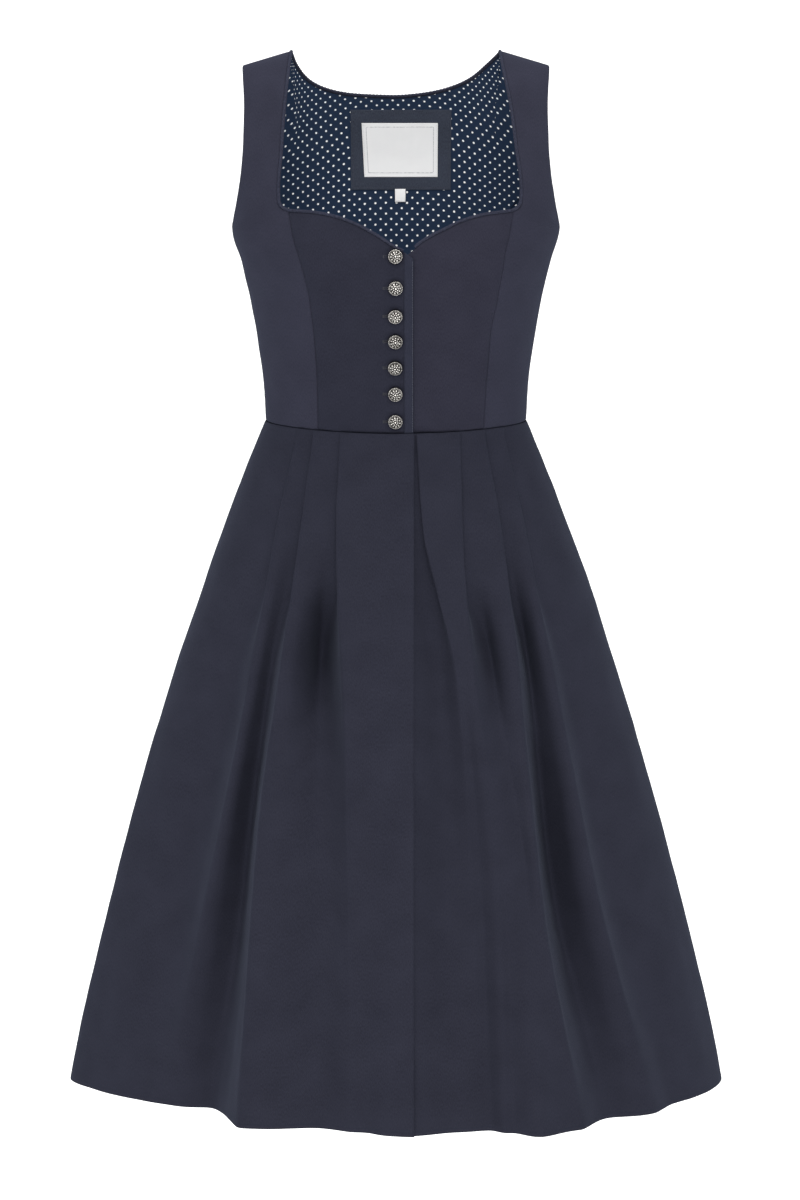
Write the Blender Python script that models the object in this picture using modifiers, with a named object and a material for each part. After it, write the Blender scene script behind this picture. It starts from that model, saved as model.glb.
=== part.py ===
"""A sleeveless knee-length dirndl, hollow and open as it is worn.

The bodice is cut in panels over one torso form: two centre fronts that close with seven
domed buttons, two side fronts that run up into the shoulder straps, a back with straps
and two side backs. A pleated skirt of three panels hangs from the waist seam. The origin
lies midway between the shoulder straps at the top of the shoulder seams: +Z is up, the
front faces -Y, and +X is the wearer's left. Lengths in this file are millimetres until a
mesh is made.
"""

import math
from collections import namedtuple

import bmesh
import bpy
import numpy as np
from mathutils import Vector

MM = 0.001

# Driving dimensions
WAIST_HEIGHT = -363.0
WAIST_DIP = namedtuple("WaistDip", "front back")(6.5, 2.0)
HEM_HEIGHT = -1033.0
UNDERARM_HEIGHT = -174.0
STRAP_NECK_END = 103.0
SHOULDER_SLOPE = 0.296
SHOULDER_ROUND = 120.0
HEM_FRONT_DEPTH = 222.0
HEM_BACK_DEPTH = 235.0

CLOTH = 1.5
LINING_CLOTH = 1.0
SKIRT_CLOTH = 1.0
SEAM_GAP = 0.3
PIPING_RADIUS = 1.7

# Finishes: colour, roughness, metallic
Finish = namedtuple("Finish", "colour roughness metallic")
NAVY_CLOTH = Finish((0.033, 0.034, 0.056), 0.85, 0.0)
SKIRT_NAVY = Finish((0.028, 0.031, 0.050), 0.85, 0.0)
DOTTED_LINING = Finish((0.020, 0.030, 0.062), 0.8, 0.0)
DARK_CORD = Finish((0.022, 0.027, 0.045), 0.7, 0.0)
OLD_SILVER = Finish((0.42, 0.40, 0.37), 0.38, 1.0)
WHITE_RIBBON = Finish((0.74, 0.75, 0.76), 0.6, 0.0)

garment = bpy.data.collections.new("dirndl")


def clear_scene():
    for thing in list(bpy.data.objects):
        bpy.data.objects.remove(thing, do_unlink=True)
    bpy.context.scene.collection.children.link(garment)


# Small helpers


def mix(a, b, share):
    return a + (b - a) * share


def ease(x, start, end):
    """0 before start, 1 after end, smooth between them."""
    f = np.clip((x - start) / (end - start), 0.0, 1.0)
    return f * f * (3.0 - 2.0 * f)


def smooth(xs, ys):
    """A smooth curve through the points that never overshoots them."""
    order = np.argsort(xs)
    xs, ys = np.asarray(xs, float)[order], np.asarray(ys, float)[order]
    step = np.diff(xs)
    slope = np.diff(ys) / step
    tilt = np.concatenate([slope[:1], np.zeros(len(xs) - 2), slope[-1:]])
    for i in range(1, len(xs) - 1):
        if slope[i - 1] * slope[i] > 0:
            tilt[i] = 2 * slope[i - 1] * slope[i] / (slope[i - 1] + slope[i])

    def at(x):
        x = np.clip(x, xs[0], xs[-1])
        i = np.clip(np.searchsorted(xs, x) - 1, 0, len(step) - 1)
        f = (x - xs[i]) / step[i]
        rise = (3 * f**2 - 2 * f**3) * (ys[i + 1] - ys[i])
        lean = step[i] * (tilt[i] * (f - 2 * f**2 + f**3) + tilt[i + 1] * (f**3 - f**2))
        return ys[i] + rise + lean

    return at


def column(table, by, name):
    return smooth([getattr(row, by) for row in table], [getattr(row, name) for row in table])


# The torso form: rounded sections from the shoulders down to the waist

Section = namedtuple("Section", "height half_width front back squareness")
TORSO = [
    Section(0, 166, 92, 94, 2.4),
    Section(-60, 166, 101, 102, 2.4),
    Section(-116, 164.5, 111, 105, 2.4),
    Section(-174, 161.5, 119, 102, 2.35),
    Section(-205, 152.7, 122, 99, 2.3),
    Section(-244, 143.5, 118, 94, 2.25),
    Section(-283, 136.8, 110, 88, 2.25),
    Section(-323, 131.5, 101, 84, 2.2),
    Section(-372, 128.7, 95, 83, 2.15),
]
HALF_WIDTH = column(TORSO, "height", "half_width")
FRONT_DEPTH = column(TORSO, "height", "front")
BACK_DEPTH = column(TORSO, "height", "back")
SQUARENESS = column(TORSO, "height", "squareness")

# The rise of each cup over the plain section
Cup = namedtuple("Cup", "across height rise width length")
CUP = Cup(80, -222, 15, 44, 50)


def rounding(angle, power):
    """How far a superellipse of this power reaches at an angle, for half axes of one."""
    return (np.abs(np.sin(angle)) ** power + np.abs(np.cos(angle)) ** power) ** (-1 / power)


def ridge(angle):
    """Height of the shoulder line over an angle of the form."""
    across = HALF_WIDTH(0) * np.abs(np.sin(angle)) * rounding(angle, SQUARENESS(0))
    return -SHOULDER_SLOPE * np.maximum(across - STRAP_NECK_END, 0)


def way(drop):
    """How far along the form a point lies below the shoulder line: 1 where it turns upright."""
    turned = np.arccos(np.clip(1 - drop / SHOULDER_ROUND, -1, 1)) * 2 / math.pi
    return np.where(drop < SHOULDER_ROUND, turned, 1 + (drop / SHOULDER_ROUND - 1) * 2 / math.pi)


def drop(travel):
    """The height lost along the form: the inverse of way()."""
    turned = 1 - np.cos(travel * math.pi / 2)
    return SHOULDER_ROUND * np.where(travel < 1, turned, 1 + (travel - 1) * math.pi / 2)


def form_point(angle, travel):
    """A point of the torso form. Angle 0 is centre front, and the shoulder line is at travel 0."""
    height = ridge(angle) - drop(travel)
    power = SQUARENESS(height)
    reach = rounding(angle, power)
    x = HALF_WIDTH(height) * np.sin(angle) * reach
    depth = np.where(np.cos(angle) > 0, FRONT_DEPTH(height), BACK_DEPTH(height))
    y = -depth * np.cos(angle) * reach
    beside = (np.abs(x) - CUP.across) / CUP.width
    above = (height - CUP.height) / CUP.length
    y = y - np.where(np.cos(angle) > 0, CUP.rise * np.exp(-(beside**2) - above**2), 0)
    closing = np.where(travel < 1, np.sin(travel * math.pi / 2), 1)
    return np.stack([x, y * closing, height], axis=-1)


def form_normal(angle, travel):
    """The form's outward normal."""
    step = 1e-4
    along = form_point(angle, travel + step) - form_point(angle, travel - step)
    around = form_point(angle + step, travel) - form_point(angle - step, travel)
    normal = np.cross(along, around)
    return normal / np.linalg.norm(normal, axis=-1, keepdims=True)


# Lines drawn on the form


def angle_at(across, height, back=False):
    """The angle at which the form's section reaches a distance across at a height."""
    share = np.clip(across / HALF_WIDTH(height), -1, 1)
    power = SQUARENESS(height)
    angle = np.arctan2(share, (1 - np.abs(share) ** power) ** (1 / power))
    return math.pi - angle if back else angle


def upright_line(rows, name, side, back=False):
    """Angle as a function of height, for a line that runs up and down the form."""
    heights = [row.height for row in rows]
    return smooth(heights, [angle_at(side * getattr(row, name), row.height, back) for row in rows])


def level_line(rows, back=False):
    """Height as a function of angle, for a line that runs across the form."""
    return smooth([angle_at(row.across, row.height, back) for row in rows],
                  [row.height for row in rows])


def waist(angle):
    dip = np.where(np.cos(angle) > 0, WAIST_DIP.front, WAIST_DIP.back)
    return WAIST_HEIGHT - dip * np.cos(angle) ** 2


Upright = namedtuple("Upright", "height right left")
# The neck's edges are the cloth's own: the piping lies past them
NECK_CORNER = -156.0
STRAP_EDGE = [
    Upright(0, 103.9, 103.4),
    Upright(-10, 104.7, 104.3),
    Upright(-50, 108.3, 111.5),
    Upright(-97, 111.3, 117.4),
    Upright(-138, 114.0, 122.0),
    Upright(-148, 113.6, 121.4),
    Upright(-153, 110.0, 118.4),
    Upright(NECK_CORNER, 103.0, 113.0),
]
FRONT_SEAM = [
    Upright(NECK_CORNER, 103.0, 113.0),
    Upright(-190, 96.0, 106.5),
    Upright(-215, 88.5, 102.5),
    Upright(-240, 83.0, 98.0),
    Upright(-270, 79.3, 92.0),
    Upright(-317, 76.6, 88.5),
    Upright(-370, 75.8, 85.7),
]
ARMHOLE = [
    Upright(-14, 151.0, 151.0),
    Upright(-57, 148.5, 148.5),
    Upright(-87, 149.0, 149.0),
    Upright(-116, 151.0, 151.0),
    Upright(-145, 155.5, 155.5),
    Upright(-163, 159.4, 159.4),
    Upright(-171, 161.3, 161.3),
    Upright(UNDERARM_HEIGHT, 161.5, 161.5),
]
BACK_SEAM = [
    Upright(-112, 151.0, 151.0),
    Upright(-135, 133.0, 133.0),
    Upright(-165, 110.0, 110.0),
    Upright(-210, 86.0, 86.0),
    Upright(-270, 64.0, 64.0),
    Upright(-330, 50.0, 50.0),
    Upright(-370, 47.0, 47.0),
]
CLOSING_EDGE = [Upright(-190, 17.4, 17.4), Upright(-375, 17.4, 17.4)]
UNDERLAP_EDGE = [Upright(-190, 3.0, 3.0), Upright(-375, 3.0, 3.0)]
PLACKET_EDGE = [Upright(-190, 7.8, 7.8), Upright(-375, 7.8, 7.8)]

Across = namedtuple("Across", "across height")
FRONT_NECKLINE = [
    Across(-103.0, NECK_CORNER),
    Across(-83.0, -157.0),
    Across(-61.8, -160.4),
    Across(-41.5, -167.3),
    Across(-20.9, -177.8),
    Across(0.5, -191.4),
    Across(7.8, -194.5),
    Across(17.4, -201.0),
]
LEFT_NECKLINE = [
    Across(3.0, -203.0),
    Across(17.0, -191.6),
    Across(25.9, -184.0),
    Across(46.6, -173.3),
    Across(67.6, -164.0),
    Across(89.0, -158.8),
    Across(113.0, NECK_CORNER),
]
BACK_NECKLINE = [
    Across(-104.5, -1.0),
    Across(-100.0, -12.5),
    Across(-89.0, -26.5),
    Across(-76.0, -34.0),
    Across(-60.0, -38.8),
    Across(-42.0, -41.4),
    Across(0.0, -43.0),
    Across(25.0, -41.0),
    Across(45.0, -37.5),
    Across(65.0, -31.0),
    Across(78.0, -24.0),
    Across(92.0, -12.0),
    Across(103.5, -1.0),
]

RIGHT, LEFT = -1, 1
SIDE_NAME = {RIGHT: "right", LEFT: "left"}


def joined(upper, lower, height):
    """One upright line that follows lower below a height and upper above it."""
    return lambda z: np.where(z > height, upper(z), lower(z))


def side_seam(side):
    return lambda z: np.full_like(np.asarray(z, float), side * math.pi / 2)


def back_turned(line, side):
    """Angles of a line on the back, counted past the side seam on that side."""
    return lambda z: side * line(z)


front_seam = {s: upright_line(FRONT_SEAM, SIDE_NAME[s], s) for s in (RIGHT, LEFT)}
strap_edge = {s: upright_line(STRAP_EDGE, SIDE_NAME[s], s) for s in (RIGHT, LEFT)}
neck_edge = {s: joined(strap_edge[s], front_seam[s], NECK_CORNER) for s in (RIGHT, LEFT)}
front_armhole = {s: upright_line(ARMHOLE, SIDE_NAME[s], s) for s in (RIGHT, LEFT)}
front_outer = {s: joined(front_armhole[s], side_seam(s), UNDERARM_HEIGHT) for s in (RIGHT, LEFT)}
back_armhole_line = upright_line(ARMHOLE, "left", 1, back=True)
back_seam_line = upright_line(BACK_SEAM, "left", 1, back=True)
back_armhole = {s: back_turned(back_armhole_line, s) for s in (RIGHT, LEFT)}
back_seam = {s: back_turned(back_seam_line, s) for s in (RIGHT, LEFT)}
BACK_SEAM_TOP = BACK_SEAM[0].height


# Panels: a lattice of points on the form between four lines


def lattice(first, last, bottom, top, across, up, level_to=0.0):
    """Angles and travels of a panel between two upright lines, a bottom line and a top line.

    Shares across and up run from 0 to 1. Rows are spaced as shares of the whole way to the
    shoulder, so that two panels on one seam have their rows at the same places. Rows below
    the share level_to take no notice of the top line.
    """
    u, v = np.meshgrid(across, up, indexing="ij")
    height = np.full_like(u, -250.0)
    for _ in range(60):
        angle = mix(first(height), last(height), u)
        low = way(ridge(angle) - bottom(angle))
        highest = angle[:, -1:]
        goal = way(np.maximum(ridge(highest) - top(highest), 0))
        reach = (low[:, -1:] - goal) / (low[:, -1:] - SHOULDER_TRAVEL)
        squeezed = mix(level_to, reach, (v - level_to) / (1 - level_to))
        travel = mix(low, SHOULDER_TRAVEL, np.where(v < level_to, v, squeezed))
        height = mix(height, ridge(angle) - drop(travel), 0.6)
    return angle, travel


def faces_of_wall(count_u, count_v):
    """Quads of a closed wall whose outer grid is followed by its inner grid."""
    def outer(i, j):
        return i * count_v + j

    def inner(i, j):
        return count_u * count_v + i * count_v + j

    faces = []
    for i in range(count_u - 1):
        for j in range(count_v - 1):
            faces.append((outer(i, j), outer(i + 1, j), outer(i + 1, j + 1), outer(i, j + 1)))
            faces.append((inner(i, j), inner(i, j + 1), inner(i + 1, j + 1), inner(i + 1, j)))
    for i in range(count_u - 1):
        for j in (0, count_v - 1):
            faces.append((outer(i, j), inner(i, j), inner(i + 1, j), outer(i + 1, j)))
    for j in range(count_v - 1):
        for i in (0, count_u - 1):
            faces.append((outer(i, j), outer(i, j + 1), inner(i, j + 1), inner(i, j)))
    return faces


def cloth_material(name, finish):
    material = bpy.data.materials.get(name) or bpy.data.materials.new(name)
    material.use_nodes = True
    shader = material.node_tree.nodes["Principled BSDF"]
    shader.inputs["Base Color"].default_value = (*finish.colour, 1.0)
    shader.inputs["Roughness"].default_value = finish.roughness
    shader.inputs["Metallic"].default_value = finish.metallic
    return material


def wall(name, outer, inner, material):
    """A closed wall of cloth between two grids of points, as one named object."""
    count_u, count_v = outer.shape[:2]
    mesh = bpy.data.meshes.new(name)
    shell = bmesh.new()
    points = np.concatenate([outer.reshape(-1, 3), inner.reshape(-1, 3)]) * MM
    verts = [shell.verts.new(p) for p in points]
    for face in faces_of_wall(count_u, count_v):
        shell.faces.new([verts[k] for k in face])
    bmesh.ops.recalc_face_normals(shell, faces=shell.faces)
    shell.to_mesh(mesh)
    shell.free()
    mesh.materials.append(material)
    mesh.shade_smooth()
    mesh.set_sharp_from_angle(angle=math.radians(50))
    piece = bpy.data.objects.new(name, mesh)
    garment.objects.link(piece)
    return piece


def seam_shift(points, normals):
    """The way from an upright edge into its panel, square to the edge, for the first column."""
    inward = np.cross(normals[0], np.gradient(points[0], axis=0))
    inward /= np.linalg.norm(inward, axis=-1, keepdims=True)
    facing = np.sum(inward * (points[1] - points[0]), axis=-1, keepdims=True)
    return inward * np.sign(facing)


def panel(name, grid, material, thickness, lift=0.0, seams=SEAM_GAP / 2):
    """A cloth panel on the form. lift moves its outer face out, or in where negative.

    Its two upright edges are held back by seams.
    """
    points, normals = form_point(*grid), form_normal(*grid)
    first, last = seam_shift(points, normals), seam_shift(points[::-1], normals[::-1])
    points[0] += first * seams
    points[-1] += last * seams
    lift = np.broadcast_to(lift, points.shape[:2])[..., None]
    return wall(name, points + normals * lift, points + normals * (lift - thickness), material)


def steps(count):
    return np.linspace(0, 1, count)


def share_up(angle, height):
    """The share of the way from the waist seam to the shoulder at which a height lies."""
    low = way(ridge(angle) - bodice_bottom(angle))
    return float((low - way(ridge(angle) - height)) / (low - SHOULDER_TRAVEL))


def bodice_bottom(angle):
    return waist(angle) + SEAM_GAP / 2


# Half a seam's width along the form from the shoulder line
SHOULDER_TRAVEL = SEAM_GAP / 2 / 115


def shoulder_top(angle):
    return ridge(angle) - drop(SHOULDER_TRAVEL)


def under_closing(angle):
    """How far the left front dips to pass under the right one."""
    across = HALF_WIDTH(-280) * np.sin(angle)
    return -(CLOTH + SEAM_GAP + 0.2) * (1 - ease(across, 20.0, 48.0))


# Bodice pieces


BELOW_CORNER = steps(13)
RIGHT_COLUMNS = np.array([0, 0.08, 0.13, 0.25, 0.38, 0.51, 0.64, 0.77, 0.9, 1])
LEFT_COLUMNS = np.array([0, 0.12, 0.22, 0.33, 0.46, 0.6, 0.75, 0.9, 1])


def centre_front_grid(side):
    """The right centre front, with the buttons, laps over the left one."""
    edge = upright_line(CLOSING_EDGE if side == RIGHT else UNDERLAP_EDGE, "left", 1)
    neckline = level_line(FRONT_NECKLINE if side == RIGHT else LEFT_NECKLINE)
    across = RIGHT_COLUMNS if side == RIGHT else LEFT_COLUMNS
    return lattice(edge, front_seam[side], bodice_bottom, neckline, across, BELOW_CORNER)


def side_front_grid(side):
    """A side front runs up from the waist into the shoulder strap."""
    corner = share_up(front_seam[side](NECK_CORNER), NECK_CORNER)
    up = np.concatenate([BELOW_CORNER * corner, mix(corner, 1, steps(12)[1:])])
    return lattice(neck_edge[side], front_outer[side], bodice_bottom, shoulder_top,
                   steps(7), up)


def build_front(side, cloth):
    grid = centre_front_grid(side)
    lift = 0.0 if side == RIGHT else under_closing(grid[0])
    panel(f"centre_front_{SIDE_NAME[side]}", grid, cloth, CLOTH, lift)
    panel(f"side_front_{SIDE_NAME[side]}", side_front_grid(side), cloth, CLOTH)


def back_top(angle):
    """The back's upper edge: the neckline in the middle and the shoulder line at the straps."""
    neckline = level_line(BACK_NECKLINE, back=True)
    turned = np.where(angle < 0, angle + 2 * math.pi, angle)
    inner_left = angle_at(BACK_NECKLINE[-1].across, 0, back=True)
    inner_right = angle_at(BACK_NECKLINE[0].across, 0, back=True)
    in_neck = (turned > inner_left) & (turned < inner_right)
    return np.where(in_neck, neckline(turned), shoulder_top(turned))


def round_the_back(line):
    """A right-hand line's negative angles, counted on through centre back."""
    return lambda z: line(z) + 2 * math.pi


def back_columns():
    """Shares across the back at which its columns stand, with one at each end of the neckline."""
    outer = float(back_armhole[LEFT](0))
    width = 2 * (math.pi - outer)
    first = float((angle_at(BACK_NECKLINE[-1].across, 0, back=True) - outer) / width)
    last = float((2 * math.pi - angle_at(-BACK_NECKLINE[0].across, 0, back=True) - outer) / width)
    neck = mix(first, last, (1 - np.cos(steps(13) * math.pi)) / 2)
    return np.concatenate([steps(4)[:-1] * first, neck, mix(last, 1, steps(4)[1:])])


def back_grid():
    left = joined(back_armhole[LEFT], back_seam[LEFT], BACK_SEAM_TOP)
    right = round_the_back(joined(back_armhole[RIGHT], back_seam[RIGHT], BACK_SEAM_TOP))
    seam_top = share_up(back_seam[LEFT](BACK_SEAM_TOP), BACK_SEAM_TOP)
    up = np.concatenate([steps(13) * seam_top, mix(seam_top, 1, steps(9)[1:])])
    return lattice(left, right, bodice_bottom, back_top, back_columns(), up, level_to=seam_top)


def build_side_back(side, cloth):
    """A side back, from the side seam to the curved seam that ends in the armhole."""
    rows = [row for row in ARMHOLE if row.height <= BACK_SEAM_TOP] + [Upright(-112, 151, 151)]
    rows.sort(key=lambda row: row.height)
    angles = [side * angle_at(row.left, row.height, back=True) for row in rows]
    curve = smooth(angles, [row.height for row in rows])
    grid = lattice(side_seam(side), back_seam[side], bodice_bottom, curve,
                   steps(7), steps(13))
    return panel(f"side_back_{SIDE_NAME[side]}", grid, cloth, CLOTH)


# Label pieces on the lining: left, right, top and bottom edges seen from the front

Plate = namedtuple("Plate", "name low_x high_x bottom top layer thickness")
LINING_FACE = CLOTH + SEAM_GAP + LINING_CLOTH
LABELS = [
    Plate("label_patch", -46, 56, -136, -54, LINING_FACE + 0.8, 1.0),
    Plate("label", -35, 42.5, -123, -67, LINING_FACE + 2.6, 0.8),
    Plate("size_tag", -1, 9.6, -148.5, -136.6, LINING_FACE + 0.8, 0.8),
]


def build_label(plate, material):
    """A flat piece of ribbon or cloth sewn to the lining."""
    left = upright_line([Upright(plate.top, 0, plate.high_x), Upright(plate.bottom, 0, plate.high_x)],
                        "left", 1, back=True)
    right = upright_line([Upright(plate.top, 0, plate.low_x), Upright(plate.bottom, 0, plate.low_x)],
                         "left", 1, back=True)
    columns = 9 if plate.high_x - plate.low_x > 20 else 3
    grid = lattice(left, right, lambda a: np.full_like(a, plate.bottom),
                   lambda a: np.full_like(a, plate.top), steps(columns), steps(7))
    return panel(plate.name, grid, material, plate.thickness, lift=-plate.layer)


# Placket: the narrow strip sewn down the closing edge of the right front


def build_placket(cloth):
    grid = lattice(upright_line(PLACKET_EDGE, "left", 1), upright_line(CLOSING_EDGE, "left", 1),
                   bodice_bottom, level_line(FRONT_NECKLINE), steps(3), steps(13))
    return panel("placket", grid, cloth, 1.0, lift=1.0 + SEAM_GAP, seams=0.4)


# Piping: a cord sewn along the neckline edges


def piping(name, points, material):
    """A round cord of piping through points beside an edge."""
    curve = bpy.data.curves.new(name, "CURVE")
    curve.dimensions = "3D"
    curve.bevel_depth = PIPING_RADIUS * MM
    curve.bevel_resolution = 1
    curve.use_fill_caps = True
    spline = curve.splines.new("POLY")
    spline.points.add(len(points) - 1)
    for target, point in zip(spline.points, points):
        target.co = (*(np.asarray(point) * MM), 1.0)
    curve.materials.append(material)
    piece = bpy.data.objects.new(name, curve)
    garment.objects.link(piece)
    return piece


def places_along(points, spacing, ends=0.0):
    """Fractional places at an even spacing in a line of points, with a length left off its ends."""
    length = np.concatenate([[0], np.cumsum(np.linalg.norm(np.diff(points, axis=0), axis=1))])
    count = max(2, int(round(length[-1] / spacing)) + 1)
    return np.interp(np.linspace(ends, length[-1] - ends, count), length, np.arange(len(points)))


def sampled(values, places):
    """Rows of values read between their neighbours at fractional places."""
    own = np.arange(len(values))
    return np.stack([np.interp(places, own, values[:, k]) for k in range(3)], axis=-1)


def beside_edge(angle, travel, neck_side, lift=0.0):
    """Centres of a piping that lies in line with the cloth, just past a panel's edge.

    neck_side is 1 where the neck is on the left of the edge as it is seen from outside.
    """
    points = form_point(angle, travel)
    normals = form_normal(angle, travel)
    points = points + normals * np.broadcast_to(lift - CLOTH / 2, angle.shape)[..., None]
    places = places_along(points, 2.0)
    points, normals = sampled(points, places), sampled(normals, places)
    outward = neck_side * np.cross(normals, np.gradient(points, axis=0))
    outward /= np.linalg.norm(outward, axis=-1, keepdims=True)
    centres = points + outward * (PIPING_RADIUS + SEAM_GAP + 0.05)
    for _ in range(4):
        centres[1:-1] = (centres[:-2] + 2 * centres[1:-1] + centres[2:]) / 4
    return sampled(centres, places_along(centres, 7.0, ends=0.9))


def build_front_piping(side, material):
    """The piping of one front, from the shoulder down the strap and along to the closing."""
    strap, front = side_front_grid(side), centre_front_grid(side)
    corner = len(BELOW_CORNER) - 1
    angle = np.concatenate([strap[0][0, :corner:-1], front[0][::-1, -1]])
    travel = np.concatenate([strap[1][0, :corner:-1], front[1][::-1, -1]])
    across = form_point(angle, travel)[:, 0]
    keep = across < 8.5 if side == RIGHT else across > 17.0
    angle, travel = angle[keep], travel[keep]
    lift = 0.0 if side == RIGHT else under_closing(angle)
    return piping(f"neck_piping_{SIDE_NAME[side]}", beside_edge(angle, travel, -side, lift),
                  material)


def build_back_piping(material):
    angle, travel = (values[:, -1] for values in back_grid())
    across = form_point(angle, travel)[:, 0]
    in_neck = (across > BACK_NECKLINE[0].across - 0.2) & (across < BACK_NECKLINE[-1].across + 0.2)
    return piping("neck_piping_back", beside_edge(angle[in_neck], travel[in_neck], 1), material)


# Buttons: domes of cast metal on a short shank

BUTTON_HEIGHTS = [-198.5, -228.6, -255.5, -280.0, -305.5, -331.0, -358.0]
BUTTON_ACROSS = -0.5
BUTTON_STEPS = 12
# Radius and height over the cloth, from the crown down the outside to the foot of the shank
BUTTON_PROFILE = [
    (0.0, 7.0), (3.4, 6.5), (6.0, 5.0), (7.4, 3.2), (7.7, 2.2), (7.0, 1.7), (2.0, 1.6), (2.0, 0.3),
    (0.0, 0.3),
]


def button_mesh(material):
    """The outline of a button, to be turned about its axis."""
    mesh = bpy.data.meshes.new("button_profile")
    points = [(r * MM, 0, z * MM) for r, z in BUTTON_PROFILE]
    mesh.from_pydata(points, [(i, i + 1) for i in range(len(points) - 1)], [])
    mesh.materials.append(material)
    return mesh


def build_buttons(material):
    mesh = button_mesh(material)
    for number, height in enumerate(BUTTON_HEIGHTS, start=1):
        angle = np.array(angle_at(BUTTON_ACROSS, height))
        travel = way(ridge(angle) - height)
        piece = bpy.data.objects.new(f"button_{number}", mesh)
        garment.objects.link(piece)
        normal = Vector(form_normal(angle, travel))
        piece.location = Vector(form_point(angle, travel)) * MM
        piece.rotation_mode = "QUATERNION"
        piece.rotation_quaternion = normal.to_track_quat("Z", "Y")
        turn = piece.modifiers.new("turned", "SCREW")
        turn.axis = "Z"
        turn.steps = turn.render_steps = BUTTON_STEPS
        turn.use_merge_vertices = True
        turn.merge_threshold = 0.00001
        turn.use_smooth_shade = True


# Skirt: rings that widen from the waist, with the folds of the pleats worked into them

Flare = namedtuple("Flare", "height half_width")
FLARE = [
    Flare(-363, 129.3), Flare(-383, 137.8), Flare(-423, 153.9), Flare(-463, 169.0),
    Flare(-503, 183.8), Flare(-583, 211.3), Flare(-664, 237.0), Flare(-746, 260.8),
    Flare(-828, 283.2), Flare(-910, 303.7), Flare(-993, 322.3), Flare(-1033, 330.0),
]
SKIRT_WIDTH = column(FLARE, "height", "half_width")

# A fold's edge across the front at five levels, and what the cloth does beside it.
# ridge is how far the edge lies inside the skirt's outline, valley the same for the hollow
# past it, and run the distance from the edge to that hollow. pocket deepens the hollow where
# the pressed pleat lets go, and crest is 1 where the pressed edge stays sharp below it.
LEVELS = namedtuple("Levels", "waist hip thigh knee hem")(-369, -460, -600, -800, -1033)
Fold = namedtuple(
    "Fold",
    "name faces waist hip thigh knee hem ridge_thigh ridge_knee ridge_hem "
    "valley_thigh valley_knee valley_hem run_thigh run_knee run_hem pocket crest",
    defaults=(0, 0),
)
OUT, IN = 1, -1
RIGHT_FOLDS = [
    Fold("box", OUT, 53, 57, 50, 46, 42, 0, 5, 16, 28, 18, 28, 24, 30, 36, pocket=36, crest=1),
    Fold("second", OUT, 79, 92, 112, 137, 152, 1, 2, 8, 26, 60, 72, 11, 12, 34, crest=1),
    Fold("side", OUT, 95, 115, 141, 181, 226, 7, 30, 60, 23, 52, 58, 18, 26, 34, crest=1),
]
LEFT_FOLDS = [
    Fold("inverted", IN, 20, 26, 58, 74, 84, 2, 14, 17, 18, 20, 14, 18, 26, 28),
    Fold("box", OUT, 61, 64, 76, 104, 114, 0, 4, 3, 10, 0, -20, 20, 24, 28, pocket=24),
    Fold("second", OUT, 85, 101, 119, 139, 180, 1, -8, -9, 26, 57, 22, 12, 13, 31, pocket=14, crest=1),
    Fold("side", OUT, 104, 125, 153, 192, 254, 4, 9, 8, 19, 30, 26, 18, 22, 30, crest=1),
]
POCKET_HEIGHT, POCKET_LENGTH = -572, 50
SHARPENS = namedtuple("Sharpens", "start end")(-560, -660)
SOFTENS = namedtuple("Softens", "start end")(-880, -1010)
EVEN_CREST = [(-0.3, 0.03), (0.0, 0.0), (0.12, 0.14), (0.34, 0.46), (0.56, 0.76), (0.78, 0.94),
              (1.0, 1.0)]
SHARP_CREST = [(-0.2, 0.0), (0.0, 0.0), (0.1, 0.24), (0.26, 0.52), (0.46, 0.78), (0.72, 0.95),
               (1.0, 1.0)]
BACK_PLEATS = 4


def back_folds():
    """Even knife pleats on each half of the back, facing out from a flat middle panel."""
    folds = []
    for k in range(BACK_PLEATS):
        part = k / (BACK_PLEATS - 1)
        waist_at, hem_at = mix(30, 99, part), mix(52, 268, part)
        folds.append(Fold(
            f"back_{k}", OUT, waist_at, mix(waist_at, hem_at, 0.12), mix(waist_at, hem_at, 0.35),
            mix(waist_at, hem_at, 0.66), hem_at, 1, 1, 0, 16, 34, 42 - 10 * part, 15, 24, 34))
    return folds


TUCK = 15.0
LAYER = 2.0
FOLD_ROUND = 1.2
OPENS = namedtuple("Opens", "start end")(-420, -610)
CUT_EDGE = 17.4
UNDER_EDGE = 2.0
FAR_SIDE = ((0.34, 0.36), (0.7, 0.8))
SIDE_SHARES = (0.25, 0.5, 0.73, 0.91)
SIDE_ROOM = 0.62
SKIRT_ROWS = np.array([0, 0.02, 0.055, 0.105, 0.165, 0.235, 0.315, 0.405, 0.51, 0.62, 0.74, 0.87,
                       1.0])


def skirt_axes(height):
    """Half width, front depth, back depth and squareness of the skirt's outline."""
    wide = SKIRT_WIDTH(height)
    spread = (wide - FLARE[0].half_width) / (FLARE[-1].half_width - FLARE[0].half_width)
    front = mix(float(FRONT_DEPTH(-369)) + 0.3, HEM_FRONT_DEPTH, spread)
    back = mix(float(BACK_DEPTH(-365)) + 0.3, HEM_BACK_DEPTH, spread)
    return wide, front, back, mix(2.15, 2.0, spread)


def skirt_base(angle, height):
    """A point of the skirt's smooth outline, in plan."""
    wide, front, back, power = skirt_axes(height)
    reach = rounding(angle, power)
    depth = np.where(np.cos(angle) > 0, front, back)
    return np.stack([wide * np.sin(angle) * reach, -depth * np.cos(angle) * reach], axis=-1)


def skirt_angle(across, height, back=False):
    """The angle at which the outline reaches a distance across."""
    wide, _, _, power = skirt_axes(height)
    share = np.clip(across / wide, -1, 1)
    angle = np.arctan2(share, (1 - np.abs(share) ** power) ** (1 / power))
    return np.where(back, math.pi - angle, angle)


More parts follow.
